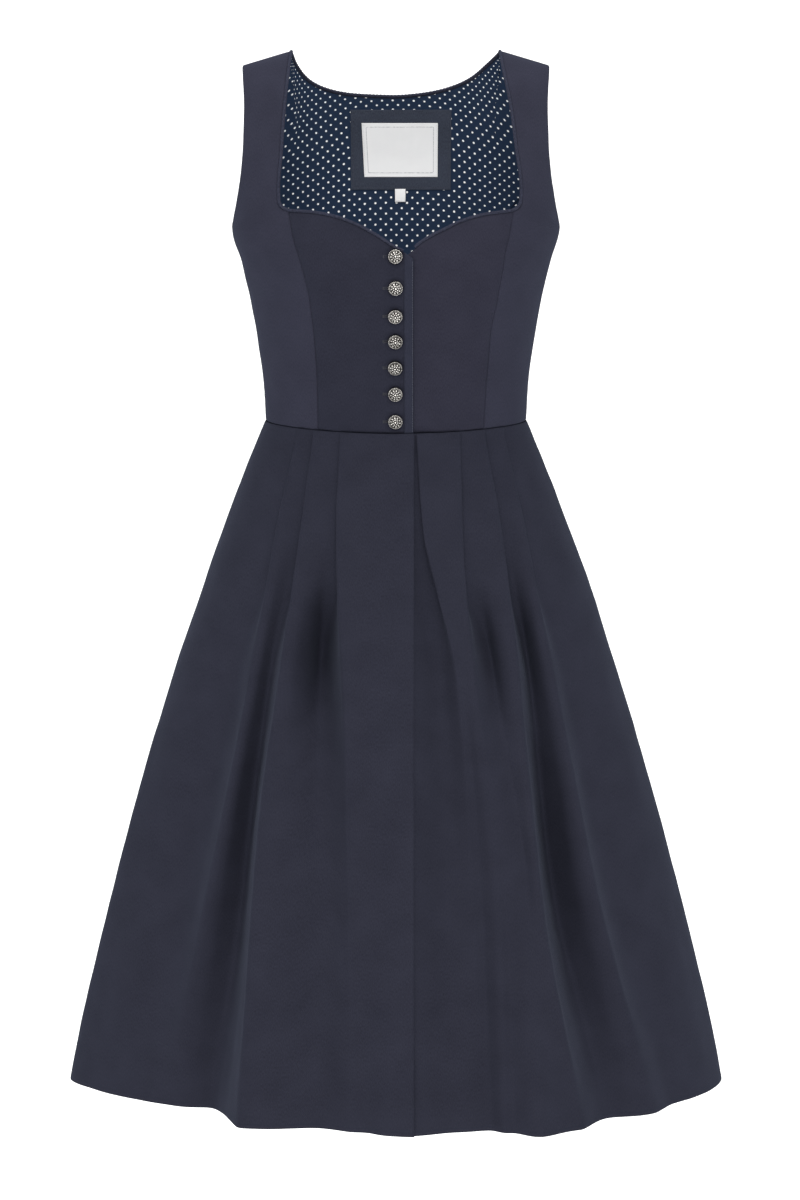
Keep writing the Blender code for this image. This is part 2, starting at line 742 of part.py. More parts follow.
def pace(angle, height):
    """Millimetres of outline for each radian at an angle."""
    step = 1e-4
    return np.linalg.norm(skirt_base(angle + step, height) - skirt_base(angle - step, height),
                          axis=-1) / (2 * step)


def by_level(fold, names, height):
    levels = [getattr(LEVELS, name.rsplit("_", 1)[-1]) for name in names]
    return smooth(levels, [getattr(fold, name) for name in names])(height)


def pocket_depth(fold, height):
    """How much deeper a fold's hollow is just below its pressed stretch."""
    return fold.pocket * np.exp(-(((height - POCKET_HEIGHT) / POCKET_LENGTH) ** 2))


def fold_facts(fold, height):
    """A fold's edge, ridge, valley and run at heights."""
    edge = by_level(fold, ["waist", "hip", "thigh", "knee", "hem"], height)
    ridge_in = by_level(fold, ["ridge_thigh", "ridge_knee", "ridge_hem"], height)
    valley_in = by_level(fold, ["valley_thigh", "valley_knee", "valley_hem"], height)
    valley_in = valley_in + pocket_depth(fold, height)
    run = by_level(fold, ["run_thigh", "run_knee", "run_hem"], height)
    return edge, ridge_in, valley_in, run


def fold_stations(fold, slope, height):
    """The fold's own points from its edge to its hollow: distance past the edge, and inset.

    Pressed flat the cloth turns back under itself by a tuck and forward again. Lower down
    the same points open into a crest and a hollow.
    """
    _, ridge_in, valley_in, run = fold_facts(fold, height)
    opened = ease(-height, -OPENS.start, -OPENS.end)
    back_in = TUCK - FOLD_ROUND
    pressed = [
        (-FOLD_ROUND, slope * FOLD_ROUND),
        (0.0, LAYER / 2),
        (-FOLD_ROUND, LAYER + slope * FOLD_ROUND),
        (-back_in, LAYER + slope * back_in),
        (-TUCK, 1.5 * LAYER + slope * TUCK),
        (-back_in, 2 * LAYER + slope * back_in),
        (3.0, 2 * LAYER),
    ]
    sharp = fold.crest * ease(-height, -SHARPENS.start, -SHARPENS.end)
    sharp = sharp * (1 - ease(-height, -SOFTENS.start, -SOFTENS.end))
    stations = []
    for (near, deep), even, steep in zip(pressed, EVEN_CREST, SHARP_CREST):
        along, down = mix(even[0], steep[0], sharp), mix(even[1], steep[1], sharp)
        low = mix(ridge_in, valley_in, down)
        stations.append((mix(near, along * run, opened), mix(deep, low, opened)))
    return stations


def half_ring(folds, start, side, end_inset, height, back=False):
    """Plan points of one half of the skirt at heights, from its middle out to the side seam.

    start holds the points before the first fold, as distance across and inset.
    """
    points = [(skirt_angle(across, height, back), inset) for across, inset in start]
    last_deep = start[-1][1]
    last_angle = points[-1][0]
    hole = 0.0
    for fold in folds:
        edge, _, _, _ = fold_facts(fold, height)
        middle = skirt_angle(edge, height, back)
        speed = pace(middle, height)
        wide = np.maximum(np.abs(middle - last_angle) * speed, 8.0)
        opened = ease(-height, -OPENS.start, -OPENS.end)
        slope = np.where(last_deep > 1.0, 2 * LAYER / wide, 0.0) * (1 - opened)
        own = fold_stations(fold, slope if fold.faces == OUT else 0.0, height)
        turn = -1.0 if back else 1.0
        if fold.faces == IN:
            own = [(-near, deep) for near, deep in reversed(own)]
        own = [(middle + turn * near / speed, deep) for near, deep in own]
        first_angle, first_deep = own[0]
        for share, rise in ((0.5, 0.66),) if back else FAR_SIDE:
            deep = mix(last_deep - hole, first_deep, rise) + hole * (1 - share) ** 3
            points.append((mix(last_angle, first_angle, share), deep))
        points.extend(own)
        last_angle, last_deep = own[-1]
        hole = opened * pocket_depth(fold, height)
    side_angle = np.full_like(height, math.pi / 2)
    for share in SIDE_SHARES:
        angle = mix(last_angle, side_angle, share)
        inset = last_deep * np.sqrt(np.abs(np.cos(angle) / np.cos(last_angle)))
        room = SIDE_ROOM * np.abs(skirt_base(angle, height)[..., 1])
        points.append((angle, np.minimum(inset, room)))
    hold_back = (SEAM_GAP / 2) / pace(side_angle, height) * (-1 if back else 1)
    points.append((side_angle - hold_back, end_inset))
    return [(side * angle, inset + 0 * height) for angle, inset in points]


def skirt_height(angle, row):
    """Height of a row of the skirt: it follows the waist seam above and is level at the hem."""
    return mix(waist(angle) - SEAM_GAP / 2, HEM_HEIGHT, row)


def plan_normals(plan):
    """Normals of a polyline in plan, stretched at its corners so that a wall keeps its width."""
    edges = np.diff(plan, axis=0)
    edges /= np.maximum(np.linalg.norm(edges, axis=-1, keepdims=True), 1e-9)
    sides = np.stack([edges[..., 1], -edges[..., 0]], axis=-1)
    before = np.concatenate([sides[:1], sides])
    after = np.concatenate([sides, sides[-1:]])
    normal = before + after
    normal /= np.maximum(np.linalg.norm(normal, axis=-1, keepdims=True), 1e-9)
    spread = np.sum(normal * before, axis=-1, keepdims=True)
    return normal / np.maximum(spread, 0.66)


def skirt_wall(name, ring, material):
    """A skirt panel's wall from its ring, a function of height that gives plan points."""
    grid = []
    for row in SKIRT_ROWS:
        level = mix(WAIST_HEIGHT, HEM_HEIGHT, row)
        stations = ring(np.array([level]))
        angles = np.array([float(angle[0]) for angle, _ in stations])
        insets = np.array([float(np.broadcast_to(inset, (1,))[0]) for _, inset in stations])
        heights = skirt_height(angles, row)
        base = skirt_base(angles, heights)
        step = 1e-4
        along = skirt_base(angles + step, heights) - skirt_base(angles - step, heights)
        along /= np.linalg.norm(along, axis=-1, keepdims=True)
        outward = np.stack([along[:, 1], -along[:, 0]], axis=-1)
        plan = base + np.outer(insets * np.sign(np.cos(angles)), (0, 1))
        wide = plan_normals(plan)
        wide[[0, -1]] = outward[[0, -1]]
        wide *= SKIRT_CLOTH / 2
        grid.append((plan, wide, heights))
    outer = np.stack([np.column_stack([p + w, h]) for p, w, h in grid], axis=1)
    inner = np.stack([np.column_stack([p - w, h]) for p, w, h in grid], axis=1)
    return wall(name, outer, inner, material)


def build_skirt(material):
    """Right front, which laps over the left front at the centre, then the left front and back."""
    def right_ring(height):
        fall = ease(-height, 560, 1033)
        start = [(-CUT_EDGE, 0.0), (-4.0, 2.0 * fall), (14.0, 6.0 * fall)]
        return half_ring(RIGHT_FOLDS, start, -1, 0.0, height)

    def left_ring(height):
        fall = ease(-height, 560, 1033)
        start = [(UNDER_EDGE, LAYER + 2.2 * fall), (CUT_EDGE - 3, LAYER + 0.2 + 0.5 * fall)]
        return half_ring(LEFT_FOLDS, start, 1, 0.0, height)

    def back_ring(height):
        left = half_ring(back_folds(), [(0.0, 0.0), (16.0, 0.0)], 1, 0.0, height, back=True)
        right = half_ring(back_folds(), [(0.0, 0.0), (16.0, 0.0)], 1, 0.0, height, back=True)
        mirrored = [(2 * math.pi - angle, inset) for angle, inset in right[1:]]
        return left[::-1] + mirrored

    skirt_wall("skirt_front_right", lambda h: right_ring(h)[::-1], material)
    skirt_wall("skirt_front_left", left_ring, material)
    skirt_wall("skirt_back", back_ring, material)


def main():
    clear_scene()
    navy = cloth_material("navy_cloth", NAVY_CLOTH)
    dotted = cloth_material("dotted_lining", DOTTED_LINING)
    cord = cloth_material("dark_cord", DARK_CORD)
    ribbon = cloth_material("white_ribbon", WHITE_RIBBON)
    silver = cloth_material("old_silver", OLD_SILVER)
    for side in (RIGHT, LEFT):
        build_front(side, navy)
        build_side_back(side, navy)
        build_front_piping(side, cord)
    # The back is narrow at the waist, and wide enough above to carry both straps. The dotted
    # lining that shows through the neck has the same cut.
    panel("back", back_grid(), navy, CLOTH)
    panel("back_lining", back_grid(), dotted, LINING_CLOTH, lift=-(CLOTH + SEAM_GAP))
    build_back_piping(cord)
    for plate in LABELS:
        build_label(plate, navy if plate.name == "label_patch" else ribbon)
    build_placket(navy)
    build_buttons(silver)
    build_skirt(cloth_material("skirt_navy", SKIRT_NAVY))


main()
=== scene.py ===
"""The looks of a navy dirndl, filled out as it is worn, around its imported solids."""

import math
from collections import namedtuple

import bpy
import numpy as np
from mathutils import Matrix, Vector


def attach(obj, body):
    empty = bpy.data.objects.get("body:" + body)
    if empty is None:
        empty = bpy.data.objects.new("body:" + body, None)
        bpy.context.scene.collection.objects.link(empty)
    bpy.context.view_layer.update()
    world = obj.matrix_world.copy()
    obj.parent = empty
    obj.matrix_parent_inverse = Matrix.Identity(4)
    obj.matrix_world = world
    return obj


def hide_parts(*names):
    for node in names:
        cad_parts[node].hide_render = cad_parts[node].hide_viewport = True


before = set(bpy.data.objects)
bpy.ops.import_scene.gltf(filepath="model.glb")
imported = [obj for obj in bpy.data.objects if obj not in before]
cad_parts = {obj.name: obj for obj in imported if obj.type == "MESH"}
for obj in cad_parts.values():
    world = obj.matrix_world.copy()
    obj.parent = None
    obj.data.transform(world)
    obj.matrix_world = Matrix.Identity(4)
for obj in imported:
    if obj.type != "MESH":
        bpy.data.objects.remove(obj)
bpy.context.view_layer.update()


# The studio. The camera stands 3.5 m off, a little below the neckline, and looks down by 6.8
# degrees. Floor and walls are near white, and broad soft lights show the folds of the dark cloth.

MM = 0.001
scene = bpy.context.scene
scene.view_settings.view_transform = "Standard"


def put(name, data):
    """A new object in the scene."""
    thing = bpy.data.objects.new(name, data)
    scene.collection.objects.link(thing)
    return thing


FOCAL_PIXELS, PICTURE_PIXELS, SENSOR = 3525, 1200, 36
camera = put("camera", bpy.data.cameras.new("camera"))
scene.camera = camera
camera.data.lens = SENSOR * FOCAL_PIXELS / PICTURE_PIXELS
camera.data.clip_end = 30
camera.location = (0.004, -3.5002, -0.1256)
camera.rotation_euler = (math.radians(90 - 6.8), 0, 0)


class Nodes:
    """Puts nodes into a tree. Sockets go by name, or by number as in i0."""

    def __init__(self, tree):
        self.tree = tree

    def feed(self, node, **inputs):
        """Links or sets a node's inputs."""
        for name, value in inputs.items():
            numbered = name[0] == "i" and name[1:].isdigit()
            socket = node.inputs[int(name[1:]) if numbered else name.replace("_", " ")]
            if isinstance(value, bpy.types.NodeSocket):
                self.tree.links.new(value, socket)
            else:
                socket.default_value = value
        return node

    def add(self, kind, settings=(), **inputs):
        node = self.tree.nodes.new(kind)
        for name, value in dict(settings).items():
            setattr(node, name, value)
        return self.feed(node, **inputs)

    def out(self, kind, settings=(), **inputs):
        """The first output of a new node."""
        return self.add(kind, settings, **inputs).outputs[0]

    def math(self, operation, *values):
        inputs = {f"i{k}": value for k, value in enumerate(values)}
        return self.out("ShaderNodeMath", {"operation": operation}, **inputs)

    def times(self, a, b):
        return self.math("MULTIPLY", a, b)

    def plus(self, a, b):
        return self.math("ADD", a, b)

    def blend(self, share, a, b):
        """Mixes two colours, each an output or three numbers."""
        a, b = (c if isinstance(c, bpy.types.NodeSocket) else (*c, 1) for c in (a, b))
        return self.add("ShaderNodeMix", {"data_type": "RGBA"}, i0=share, i6=a, i7=b).outputs[2]

    def spread(self, value, low, high, to_low=0.0, to_high=1.0):
        return self.out("ShaderNodeMapRange", {"interpolation_type": "SMOOTHSTEP"}, Value=value,
                        From_Min=low, From_Max=high, To_Min=to_low, To_Max=to_high)

    def noise(self, where, scale, **more):
        return self.out("ShaderNodeTexNoise", Vector=where, Scale=scale, **more)

    def bump(self, strength, depth, height):
        return self.out("ShaderNodeBump", Strength=strength, Distance=depth, Height=height)

    def uv(self):
        return self.add("ShaderNodeUVMap", {"uv_map": "cloth"}).outputs["UV"]


def new_material(name):
    """A material, its node builder and its shader."""
    material = bpy.data.materials.new(name)
    material.use_nodes = True
    return material, Nodes(material.node_tree), material.node_tree.nodes["Principled BSDF"]


# The wall is seen through from behind
paper, n, shader = new_material("floor_paper")
wall_side = n.add("ShaderNodeNewGeometry").outputs["Backfacing"]
n.feed(shader, Base_Color=(0.93, 0.93, 0.93, 1), Roughness=0.9, Emission_Color=(1, 1, 1, 1),
       Emission_Strength=0.3, Alpha=n.math("SUBTRACT", 1.0, wall_side))


def smooth_mesh(name, points, faces, *materials):
    mesh = bpy.data.meshes.new(name)
    mesh.from_pydata(points, [], faces)
    for material in materials:
        mesh.materials.append(material)
    mesh.shade_smooth()
    return mesh


FLOOR_HEIGHT, HALF_FLOOR, FLOOR_FRONT, FLOOR_BACK, BEND, WALL_TOP = -1.5, 7.0, -4.0, 3.0, 2.0, 6.0
profile = [(FLOOR_FRONT, 0.0), (FLOOR_BACK, 0.0)]
profile += [(FLOOR_BACK + BEND * math.sin(a), BEND - BEND * math.cos(a))
            for a in np.linspace(0.1, 1.57, 16)]
profile += [(FLOOR_BACK + BEND, WALL_TOP)]
count = len(profile)
studio_floor = put("studio_floor", smooth_mesh(
    "studio_floor", [(x, y, FLOOR_HEIGHT + z) for x in (-HALF_FLOOR, HALF_FLOOR) for y, z in profile],
    [(k, k + count, k + count + 1, k + 1) for k in range(count - 1)], paper))

world = bpy.data.worlds.new("studio_air")
scene.world = world
world.use_nodes = True
n = Nodes(world.node_tree)
n.feed(world.node_tree.nodes["Background"], Color=(1, 1, 1, 1), Strength=0.86)

WARM, COOL = (1.0, 0.985, 0.965), (0.80, 0.95, 1.0)
LIGHTS_AIM = Vector((0, 0, -0.5))
for name, place, size, watts, colour in (
    ("front_light", (0, -3.4, 0.9), 1.5, 26, WARM),
    ("low_light", (0, -3.4, -0.6), 1.5, 15, WARM),
    ("high_light", (0, -2.4, 2.2), 1.5, 20, WARM),
    ("top_light", (0, -0.3, 3.0), 1.6, 70, WARM),
    ("left_light", (-3.0, 0.3, -0.8), 1.8, 14, COOL),
    ("right_light", (3.0, 0.3, -0.6), 1.8, 10, COOL),
    ("back_light", (-0.6, 2.8, 1.4), 1.8, 30, WARM),
):
    lamp = put(name, bpy.data.lights.new(name, "AREA"))
    lamp.location = place
    lamp.data.size, lamp.data.energy, lamp.data.color = size, watts, colour
    lamp.rotation_euler = (LIGHTS_AIM - lamp.location).to_track_quat("-Z", "Y").to_euler()


# The bodice fronts. Shell cloth, interlining and a dotted cotton lining are sewn as one wall of
# 1.5 mm over the form that the cut gives: rounded sections from the shoulders to the waist, with
# a cup each side. A princess seam joins each centre front to a side front with its strap.

RIGHT, LEFT = -1, 1
SIDE_NAME = {RIGHT: "right", LEFT: "left"}
CLOTH, SEAM_GAP = 1.5, 0.3
RIM_BULGE, ROLL_REACH, PUCKER, UNEVENNESS = 0.12, 0.75, 0.16, 0.42
STRAP_NECK_END, SHOULDER_SLOPE, SHOULDER_ROUND = 103.0, 0.296, 120.0
UNDERARM_HEIGHT, NECK_CORNER = -174.0, -156.0
SHOULDER_TRAVEL = SEAM_GAP / 2 / 115


def mix(a, b, share):
    return a + (b - a) * share


def ease(x, start, end):
    """0 before start, 1 after end, smooth between them."""
    f = np.clip((x - start) / (end - start), 0.0, 1.0)
    return f * f * (3.0 - 2.0 * f)


def unit(vectors):
    return vectors / np.linalg.norm(vectors, axis=-1, keepdims=True)


def smooth(xs, ys):
    """A smooth curve through the points that never overshoots them."""
    order = np.argsort(xs)
    xs, ys = np.asarray(xs, float)[order], np.asarray(ys, float)[order]
    step = np.diff(xs)
    slope = np.diff(ys) / step
    tilt = np.concatenate([slope[:1], np.zeros(len(xs) - 2), slope[-1:]])
    for i in range(1, len(xs) - 1):
        if slope[i - 1] * slope[i] > 0:
            tilt[i] = 2 * slope[i - 1] * slope[i] / (slope[i - 1] + slope[i])

    def at(x):
        x = np.clip(x, xs[0], xs[-1])
        i = np.clip(np.searchsorted(xs, x) - 1, 0, len(step) - 1)
        f = (x - xs[i]) / step[i]
        rise = (3 * f**2 - 2 * f**3) * (ys[i + 1] - ys[i])
        lean = step[i] * (tilt[i] * (f - 2 * f**2 + f**3) + tilt[i + 1] * (f**3 - f**2))
        return ys[i] + rise + lean

    return at


# Height, half width, front depth, back depth and squareness of the form's sections
SECTIONS = list(zip(
    (0, 166, 92, 94, 2.4), (-60, 166, 101, 102, 2.4), (-116, 164.5, 111, 105, 2.4),
    (-174, 161.5, 119, 102, 2.35), (-205, 152.7, 122, 99, 2.3), (-244, 143.5, 118, 94, 2.25),
    (-283, 136.8, 110, 88, 2.25), (-323, 131.5, 101, 84, 2.2), (-372, 128.7, 95, 83, 2.15)))
HALF_WIDTH, FRONT_DEPTH, BACK_DEPTH, SQUARENESS = (
    smooth(SECTIONS[0], column) for column in SECTIONS[1:])
CUP = namedtuple("Cup", "across height rise width length")(80, -222, 15, 44, 50)


def rounding(angle, power):
    """How far a superellipse of this power reaches at an angle, for half axes of one."""
    return (np.abs(np.sin(angle)) ** power + np.abs(np.cos(angle)) ** power) ** (-1 / power)


def ridge(angle):
    """Height of the shoulder line over an angle of the form."""
    across = HALF_WIDTH(0) * np.abs(np.sin(angle)) * rounding(angle, SQUARENESS(0))
    return -SHOULDER_SLOPE * np.maximum(across - STRAP_NECK_END, 0)


def travel_to(angle, height):
    """How far along the form a height lies below the shoulder line."""
    below = ridge(angle) - height
    turned = np.arccos(np.clip(1 - below / SHOULDER_ROUND, -1, 1)) * 2 / math.pi
    upright = 1 + (below / SHOULDER_ROUND - 1) * 2 / math.pi
    return np.where(below < SHOULDER_ROUND, turned, upright)


def height_at(angle, travel):
    """The height of a travel, the inverse of travel_to()."""
    turned = 1 - np.cos(travel * math.pi / 2)
    below = SHOULDER_ROUND * np.where(travel < 1, turned, 1 + (travel - 1) * math.pi / 2)
    return ridge(angle) - below


def form_point(angle, travel):
    """A point of the form. Angle 0 is centre front, and the shoulder line is at travel 0."""
    height = height_at(angle, travel)
    in_front = np.cos(angle) > 0
    reach = rounding(angle, SQUARENESS(height))
    x = HALF_WIDTH(height) * np.sin(angle) * reach
    y = -np.where(in_front, FRONT_DEPTH(height), BACK_DEPTH(height)) * np.cos(angle) * reach
    beside = (np.abs(x) - CUP.across) / CUP.width
    above = (height - CUP.height) / CUP.length
    y = y - np.where(in_front, CUP.rise * np.exp(-(beside**2) - above**2), 0)
    closing = np.where(travel < 1, np.sin(travel * math.pi / 2), 1)
    return np.stack([x, y * closing, height], axis=-1)


def form_normal(angle, travel, step=1e-4):
    """The form's outward normal."""
    along = form_point(angle, travel + step) - form_point(angle, travel - step)
    around = form_point(angle + step, travel) - form_point(angle - step, travel)
    return unit(np.cross(along, around))


def section_angle(across, half_width, power, back):
    """The angle at which a section reaches a distance across."""
    share = np.clip(across / half_width, -1, 1)
    angle = np.arctan2(share, (1 - np.abs(share) ** power) ** (1 / power))
    return math.pi - angle if back else angle


def angle_at(across, height, back=False):
    return section_angle(across, HALF_WIDTH(height), SQUARENESS(height), back)


def on_form(across, height, back=False):
    """The form's point and normal there, and its angle and travel."""
    angle = np.asarray(angle_at(across, height, back))
    grid = angle, travel_to(angle, height)
    return form_point(*grid), form_normal(*grid), grid


def upright_line(rows, side, back=False):
    """Angle as a function of height, for a line that runs up and down the form.

    A row is a height and one distance across, or the left and the right one.
    """
    return smooth([row[0] for row in rows], [angle_at(side * row[side], row[0], back) for row in rows])


def level_line(rows, back=False):
    """Height as a function of angle, for rows of distance across and height."""
    return smooth([angle_at(*row, back) for row in rows], [height for _, height in rows])


def waist(angle):
    dip = np.where(np.cos(angle) > 0, 6.5, 2.0)
    return -363.0 - dip * np.cos(angle) ** 2


STRAP_EDGE = [
    (0, 103.4, 103.9), (-10, 104.3, 104.7), (-50, 111.5, 108.3), (-97, 117.4, 111.3),
    (-138, 122.0, 114.0), (-148, 121.4, 113.6), (-153, 118.4, 110.0), (NECK_CORNER, 113.0, 103.0)]
FRONT_SEAM = [
    (NECK_CORNER, 113.0, 103.0), (-190, 106.5, 96.0), (-215, 102.5, 88.5), (-240, 98.0, 83.0),
    (-270, 92.0, 79.3), (-317, 88.5, 76.6), (-370, 85.7, 75.8)]
ARMHOLE = [
    (-14, 151.0), (-57, 148.5), (-87, 149.0), (-116, 151.0), (-145, 155.5), (-163, 159.4),
    (-171, 161.3), (UNDERARM_HEIGHT, 161.5)]
CLOSING_ACROSS = 17.4
CLOSING_EDGE, UNDERLAP_EDGE, PLACKET_EDGE = (
    [(-190, across), (-375, across)] for across in (CLOSING_ACROSS, 3.0, 7.8))
FRONT_NECKLINE = {
    RIGHT: [(-103.0, NECK_CORNER), (-83.0, -157.0), (-61.8, -160.4), (-41.5, -167.3),
            (-20.9, -177.8), (0.5, -191.4), (7.8, -194.5), (CLOSING_ACROSS, -201.0)],
    LEFT: [(3.0, -203.0), (17.0, -191.6), (25.9, -184.0), (46.6, -173.3), (67.6, -164.0),
           (89.0, -158.8), (113.0, NECK_CORNER)],
}


def joined(upper, lower, height):
    """One upright line that follows lower below a height and upper above it."""
    return lambda z: np.where(z > height, upper(z), lower(z))


def side_seam(side):
    return lambda z: np.full_like(np.asarray(z, float), side * math.pi / 2)


def bodice_bottom(angle):
    return waist(angle) + SEAM_GAP / 2


def shoulder_top(angle):
    return height_at(angle, SHOULDER_TRAVEL)


def lattice(first, last, bottom, top, across, up, level_to=0.0):
    """Angles and travels of a panel between two upright lines, a bottom line and a top line.

    Shares across and up run from 0 to 1. Rows below the share level_to take no notice of the
    top line, and the others squeeze up under it. Heights and angles settle over the rounds.
    """
    first_guess, rounds, stride = -250.0, 60, 0.6
    u, v = np.meshgrid(across, up, indexing="ij")
    height = np.full_like(u, first_guess)
    for _ in range(rounds):
        angle = mix(first(height), last(height), u)
        low = travel_to(angle, bottom(angle))
        highest = angle[:, -1:]
        goal = travel_to(highest, np.minimum(top(highest), ridge(highest)))
        reach = (low[:, -1:] - goal) / (low[:, -1:] - SHOULDER_TRAVEL)
        squeezed = mix(level_to, reach, (v - level_to) / (1 - level_to))
        travel = mix(low, SHOULDER_TRAVEL, np.where(v < level_to, v, squeezed))
        height = mix(height, height_at(angle, travel), stride)
    return angle, travel


def share_up(angle, height):
    """The share of the way from the waist seam to the shoulder at which a height lies."""
    low = travel_to(angle, bodice_bottom(angle))
    return float((low - travel_to(angle, height)) / (low - SHOULDER_TRAVEL))


def cloth_steps(length, step=3.0):
    """Shares along a length in millimetres, closer together where an edge rolls."""
    rolled = np.array([0.0, 0.35, 0.8, 1.4, 2.2])
    middle = np.linspace(3.6, length - 3.6, max(2, int(length / step)))
    return np.concatenate([rolled, middle, length - rolled[::-1]]) / length


def rumple(points, wave, seed, stretch=(1, 1, 1)):
    """A soft unevenness from -1 to 1, with waves of about this length in millimetres."""
    rng = np.random.default_rng(seed)
    waves, total = 14, 0
    for _ in range(waves):
        heading = rng.normal(size=3)
        heading *= rng.uniform(0.6, 1.5) / np.linalg.norm(heading) / np.array(stretch)
        total = total + np.cos(points @ heading * 2 * math.pi / wave + rng.uniform(0, 2 * math.pi))
    return total / (waves / 2)


def run_lengths(grid, axis=0):
    """Lengths along a grid or a line of points from its first row or column."""
    steps_between = np.linalg.norm(np.diff(grid, axis=axis), axis=-1)
    pad = [(0, 0)] * (grid.ndim - 1)
    pad[axis] = (1, 0)
    return np.pad(np.cumsum(steps_between, axis=axis), pad)


def from_edges(grid):
    """Distances from the nearest side edge, and from the nearest of the bottom and top."""
    across, up = run_lengths(grid, 0), run_lengths(grid, 1)
    return np.minimum(across, across[-1:] - across), np.minimum(up, up[:, -1:] - up)


def shell(name, outer, inner, fabric, inside=None):
    """A sheet of cloth with rolled edges between two grids of points in millimetres.

    Its UV map holds metres along the cloth: U across the grid and V up it.
    """
    wide, tall = outer.shape[:2]
    own = np.arange(wide * tall).reshape(wide, tall)
    quads = np.stack([own[:-1, :-1], own[1:, :-1], own[1:, 1:], own[:-1, 1:]], -1).reshape(-1, 4)
    edge = (np.concatenate([np.arange(wide), np.full(tall - 1, wide - 1),
                            np.arange(wide - 2, -1, -1), np.zeros(tall - 2, int)]),
            np.concatenate([np.zeros(wide, int), np.arange(1, tall),
                            np.full(wide - 1, tall - 1), np.arange(tall - 2, 0, -1)]))
    out = outer[edge] - outer[np.clip(edge[0], 1, wide - 2), np.clip(edge[1], 1, tall - 2)]
    out /= np.maximum(np.linalg.norm(out, axis=-1, keepdims=True), 1e-6)
    thick = np.linalg.norm(outer[0, 0] - inner[0, 0])
    rim = (outer[edge] + inner[edge]) / 2 + out * thick * RIM_BULGE
    ring, rim_ring = own[edge], 2 * wide * tall + np.arange(len(edge[0]))
    after, rim_after = np.roll(ring, -1), np.roll(rim_ring, -1)
    edge_out = np.stack([after, ring, rim_ring, rim_after], -1)
    edge_in = np.stack([rim_after, rim_ring, ring + wide * tall, after + wide * tall], -1)
    faces = np.concatenate([quads, quads[:, ::-1] + wide * tall, edge_out, edge_in])
    across, upward = outer[1:, :-1] - outer[:-1, :-1], outer[:-1, 1:] - outer[:-1, :-1]
    if np.sum(np.cross(across, upward) * (outer - inner)[:-1, :-1]) < 0:
        faces = faces[:, ::-1]
    points = np.concatenate([outer.reshape(-1, 3), inner.reshape(-1, 3), rim]) * MM
    mesh = smooth_mesh(name, points.tolist(), faces.tolist(), *[m for m in (fabric, inside) if m])
    along = np.stack([run_lengths(outer, 0), run_lengths(outer, 1)], -1) * MM
    along[..., 0] -= along[-1:, :, 0] / 2
    uv = np.concatenate([along.reshape(-1, 2), along.reshape(-1, 2), along[edge]])
    corner = np.zeros(len(mesh.loops), int)
    mesh.loops.foreach_get("vertex_index", corner)
    mesh.uv_layers.new(name="cloth").data.foreach_set("uv", uv[corner].ravel())
    if inside is not None:
        which = np.zeros(len(faces), int)
        which[len(quads): 2 * len(quads)] = 1
        mesh.polygons.foreach_set("material_index", which)
    return put(name, mesh)


def cut_of(piece, node, grid):
    """Puts a piece in a solid's place and hides the solid. The flat size worked out from its own grid
    is not used.
    """
    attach(piece, "root")
    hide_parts(node)
    across, up = run_lengths(grid, 0)[-1].max() * MM, run_lengths(grid, 1)[:, -1].max() * MM


def sew_panel(node, grid, fabric, inside, thickness=CLOTH, lift=0.0, seams=0.03, seed=1,
              roll=1.15):
    """A panel over the form with its edges rolled under, a faint pucker and soft unevenness."""
    points, normals = form_point(*grid), form_normal(*grid)
    for end, beside_end in ((0, 1), (-1, -2)):
        inward = unit(np.cross(normals[end], np.gradient(points[end], axis=0)))
        facing = np.sum(inward * (points[beside_end] - points[end]), axis=-1, keepdims=True)
        points[end] += inward * np.sign(facing) * seams
    beside, above = from_edges(points)
    rolled = roll * np.exp(-((np.minimum(beside, above) / ROLL_REACH) ** 2))
    pucker = PUCKER * np.exp(-beside / 5.0) * rumple(points, 9, seed + 50, (3, 3, 1))
    uneven = UNEVENNESS * rumple(points, 42, seed) * ease(np.minimum(beside, above), 0, 12)
    outer = points + normals * (lift + pucker + uneven - rolled)[..., None]
    inner = points + normals * (lift - thickness + uneven + pucker - rolled * 0.15)[..., None]
    piece = shell(node + "_cloth", outer, inner, fabric, inside)
    cut_of(piece, node, outer)
    return piece


def under_closing(angle):
    """How far the left front dips to pass under the right one."""
    across = HALF_WIDTH(-280) * np.sin(angle)
    return -(CLOTH + SEAM_GAP + 0.2) * (1 - ease(across, 20.0, 48.0))


BUTTON_HEIGHTS = [-198.5, -228.6, -255.5, -280.0, -305.5, -331.0, -358.0]
BUTTON_ACROSS, BUTTON_PULL, PULL_REACH = -0.5, 1.9, 8.8


def button_pull(grid):
    """How far the buttons draw the cloth round them inwards."""
    across, _, height = np.moveaxis(form_point(*grid), -1, 0)
    away = [np.hypot(across - BUTTON_ACROSS, height - middle) for middle in BUTTON_HEIGHTS]
    return BUTTON_PULL * np.exp(-((np.min(away, axis=0) / PULL_REACH) ** 4))


def node_group(kind, name, takes, gives):
    """A new group, its node builder, its input sockets (name, kind, value) and its output node."""
    group = bpy.data.node_groups.new(name, kind + "NodeTree")
    for title, holds, value in takes:
        socket = group.interface.new_socket(title, in_out="INPUT", socket_type="NodeSocket" + holds)
        if value is not None:
            socket.default_value = value
    for title, holds in gives:
        group.interface.new_socket(title, in_out="OUTPUT", socket_type="NodeSocket" + holds)
    n = Nodes(group)
    return group, n, n.add("NodeGroupInput").outputs, n.add("NodeGroupOutput")


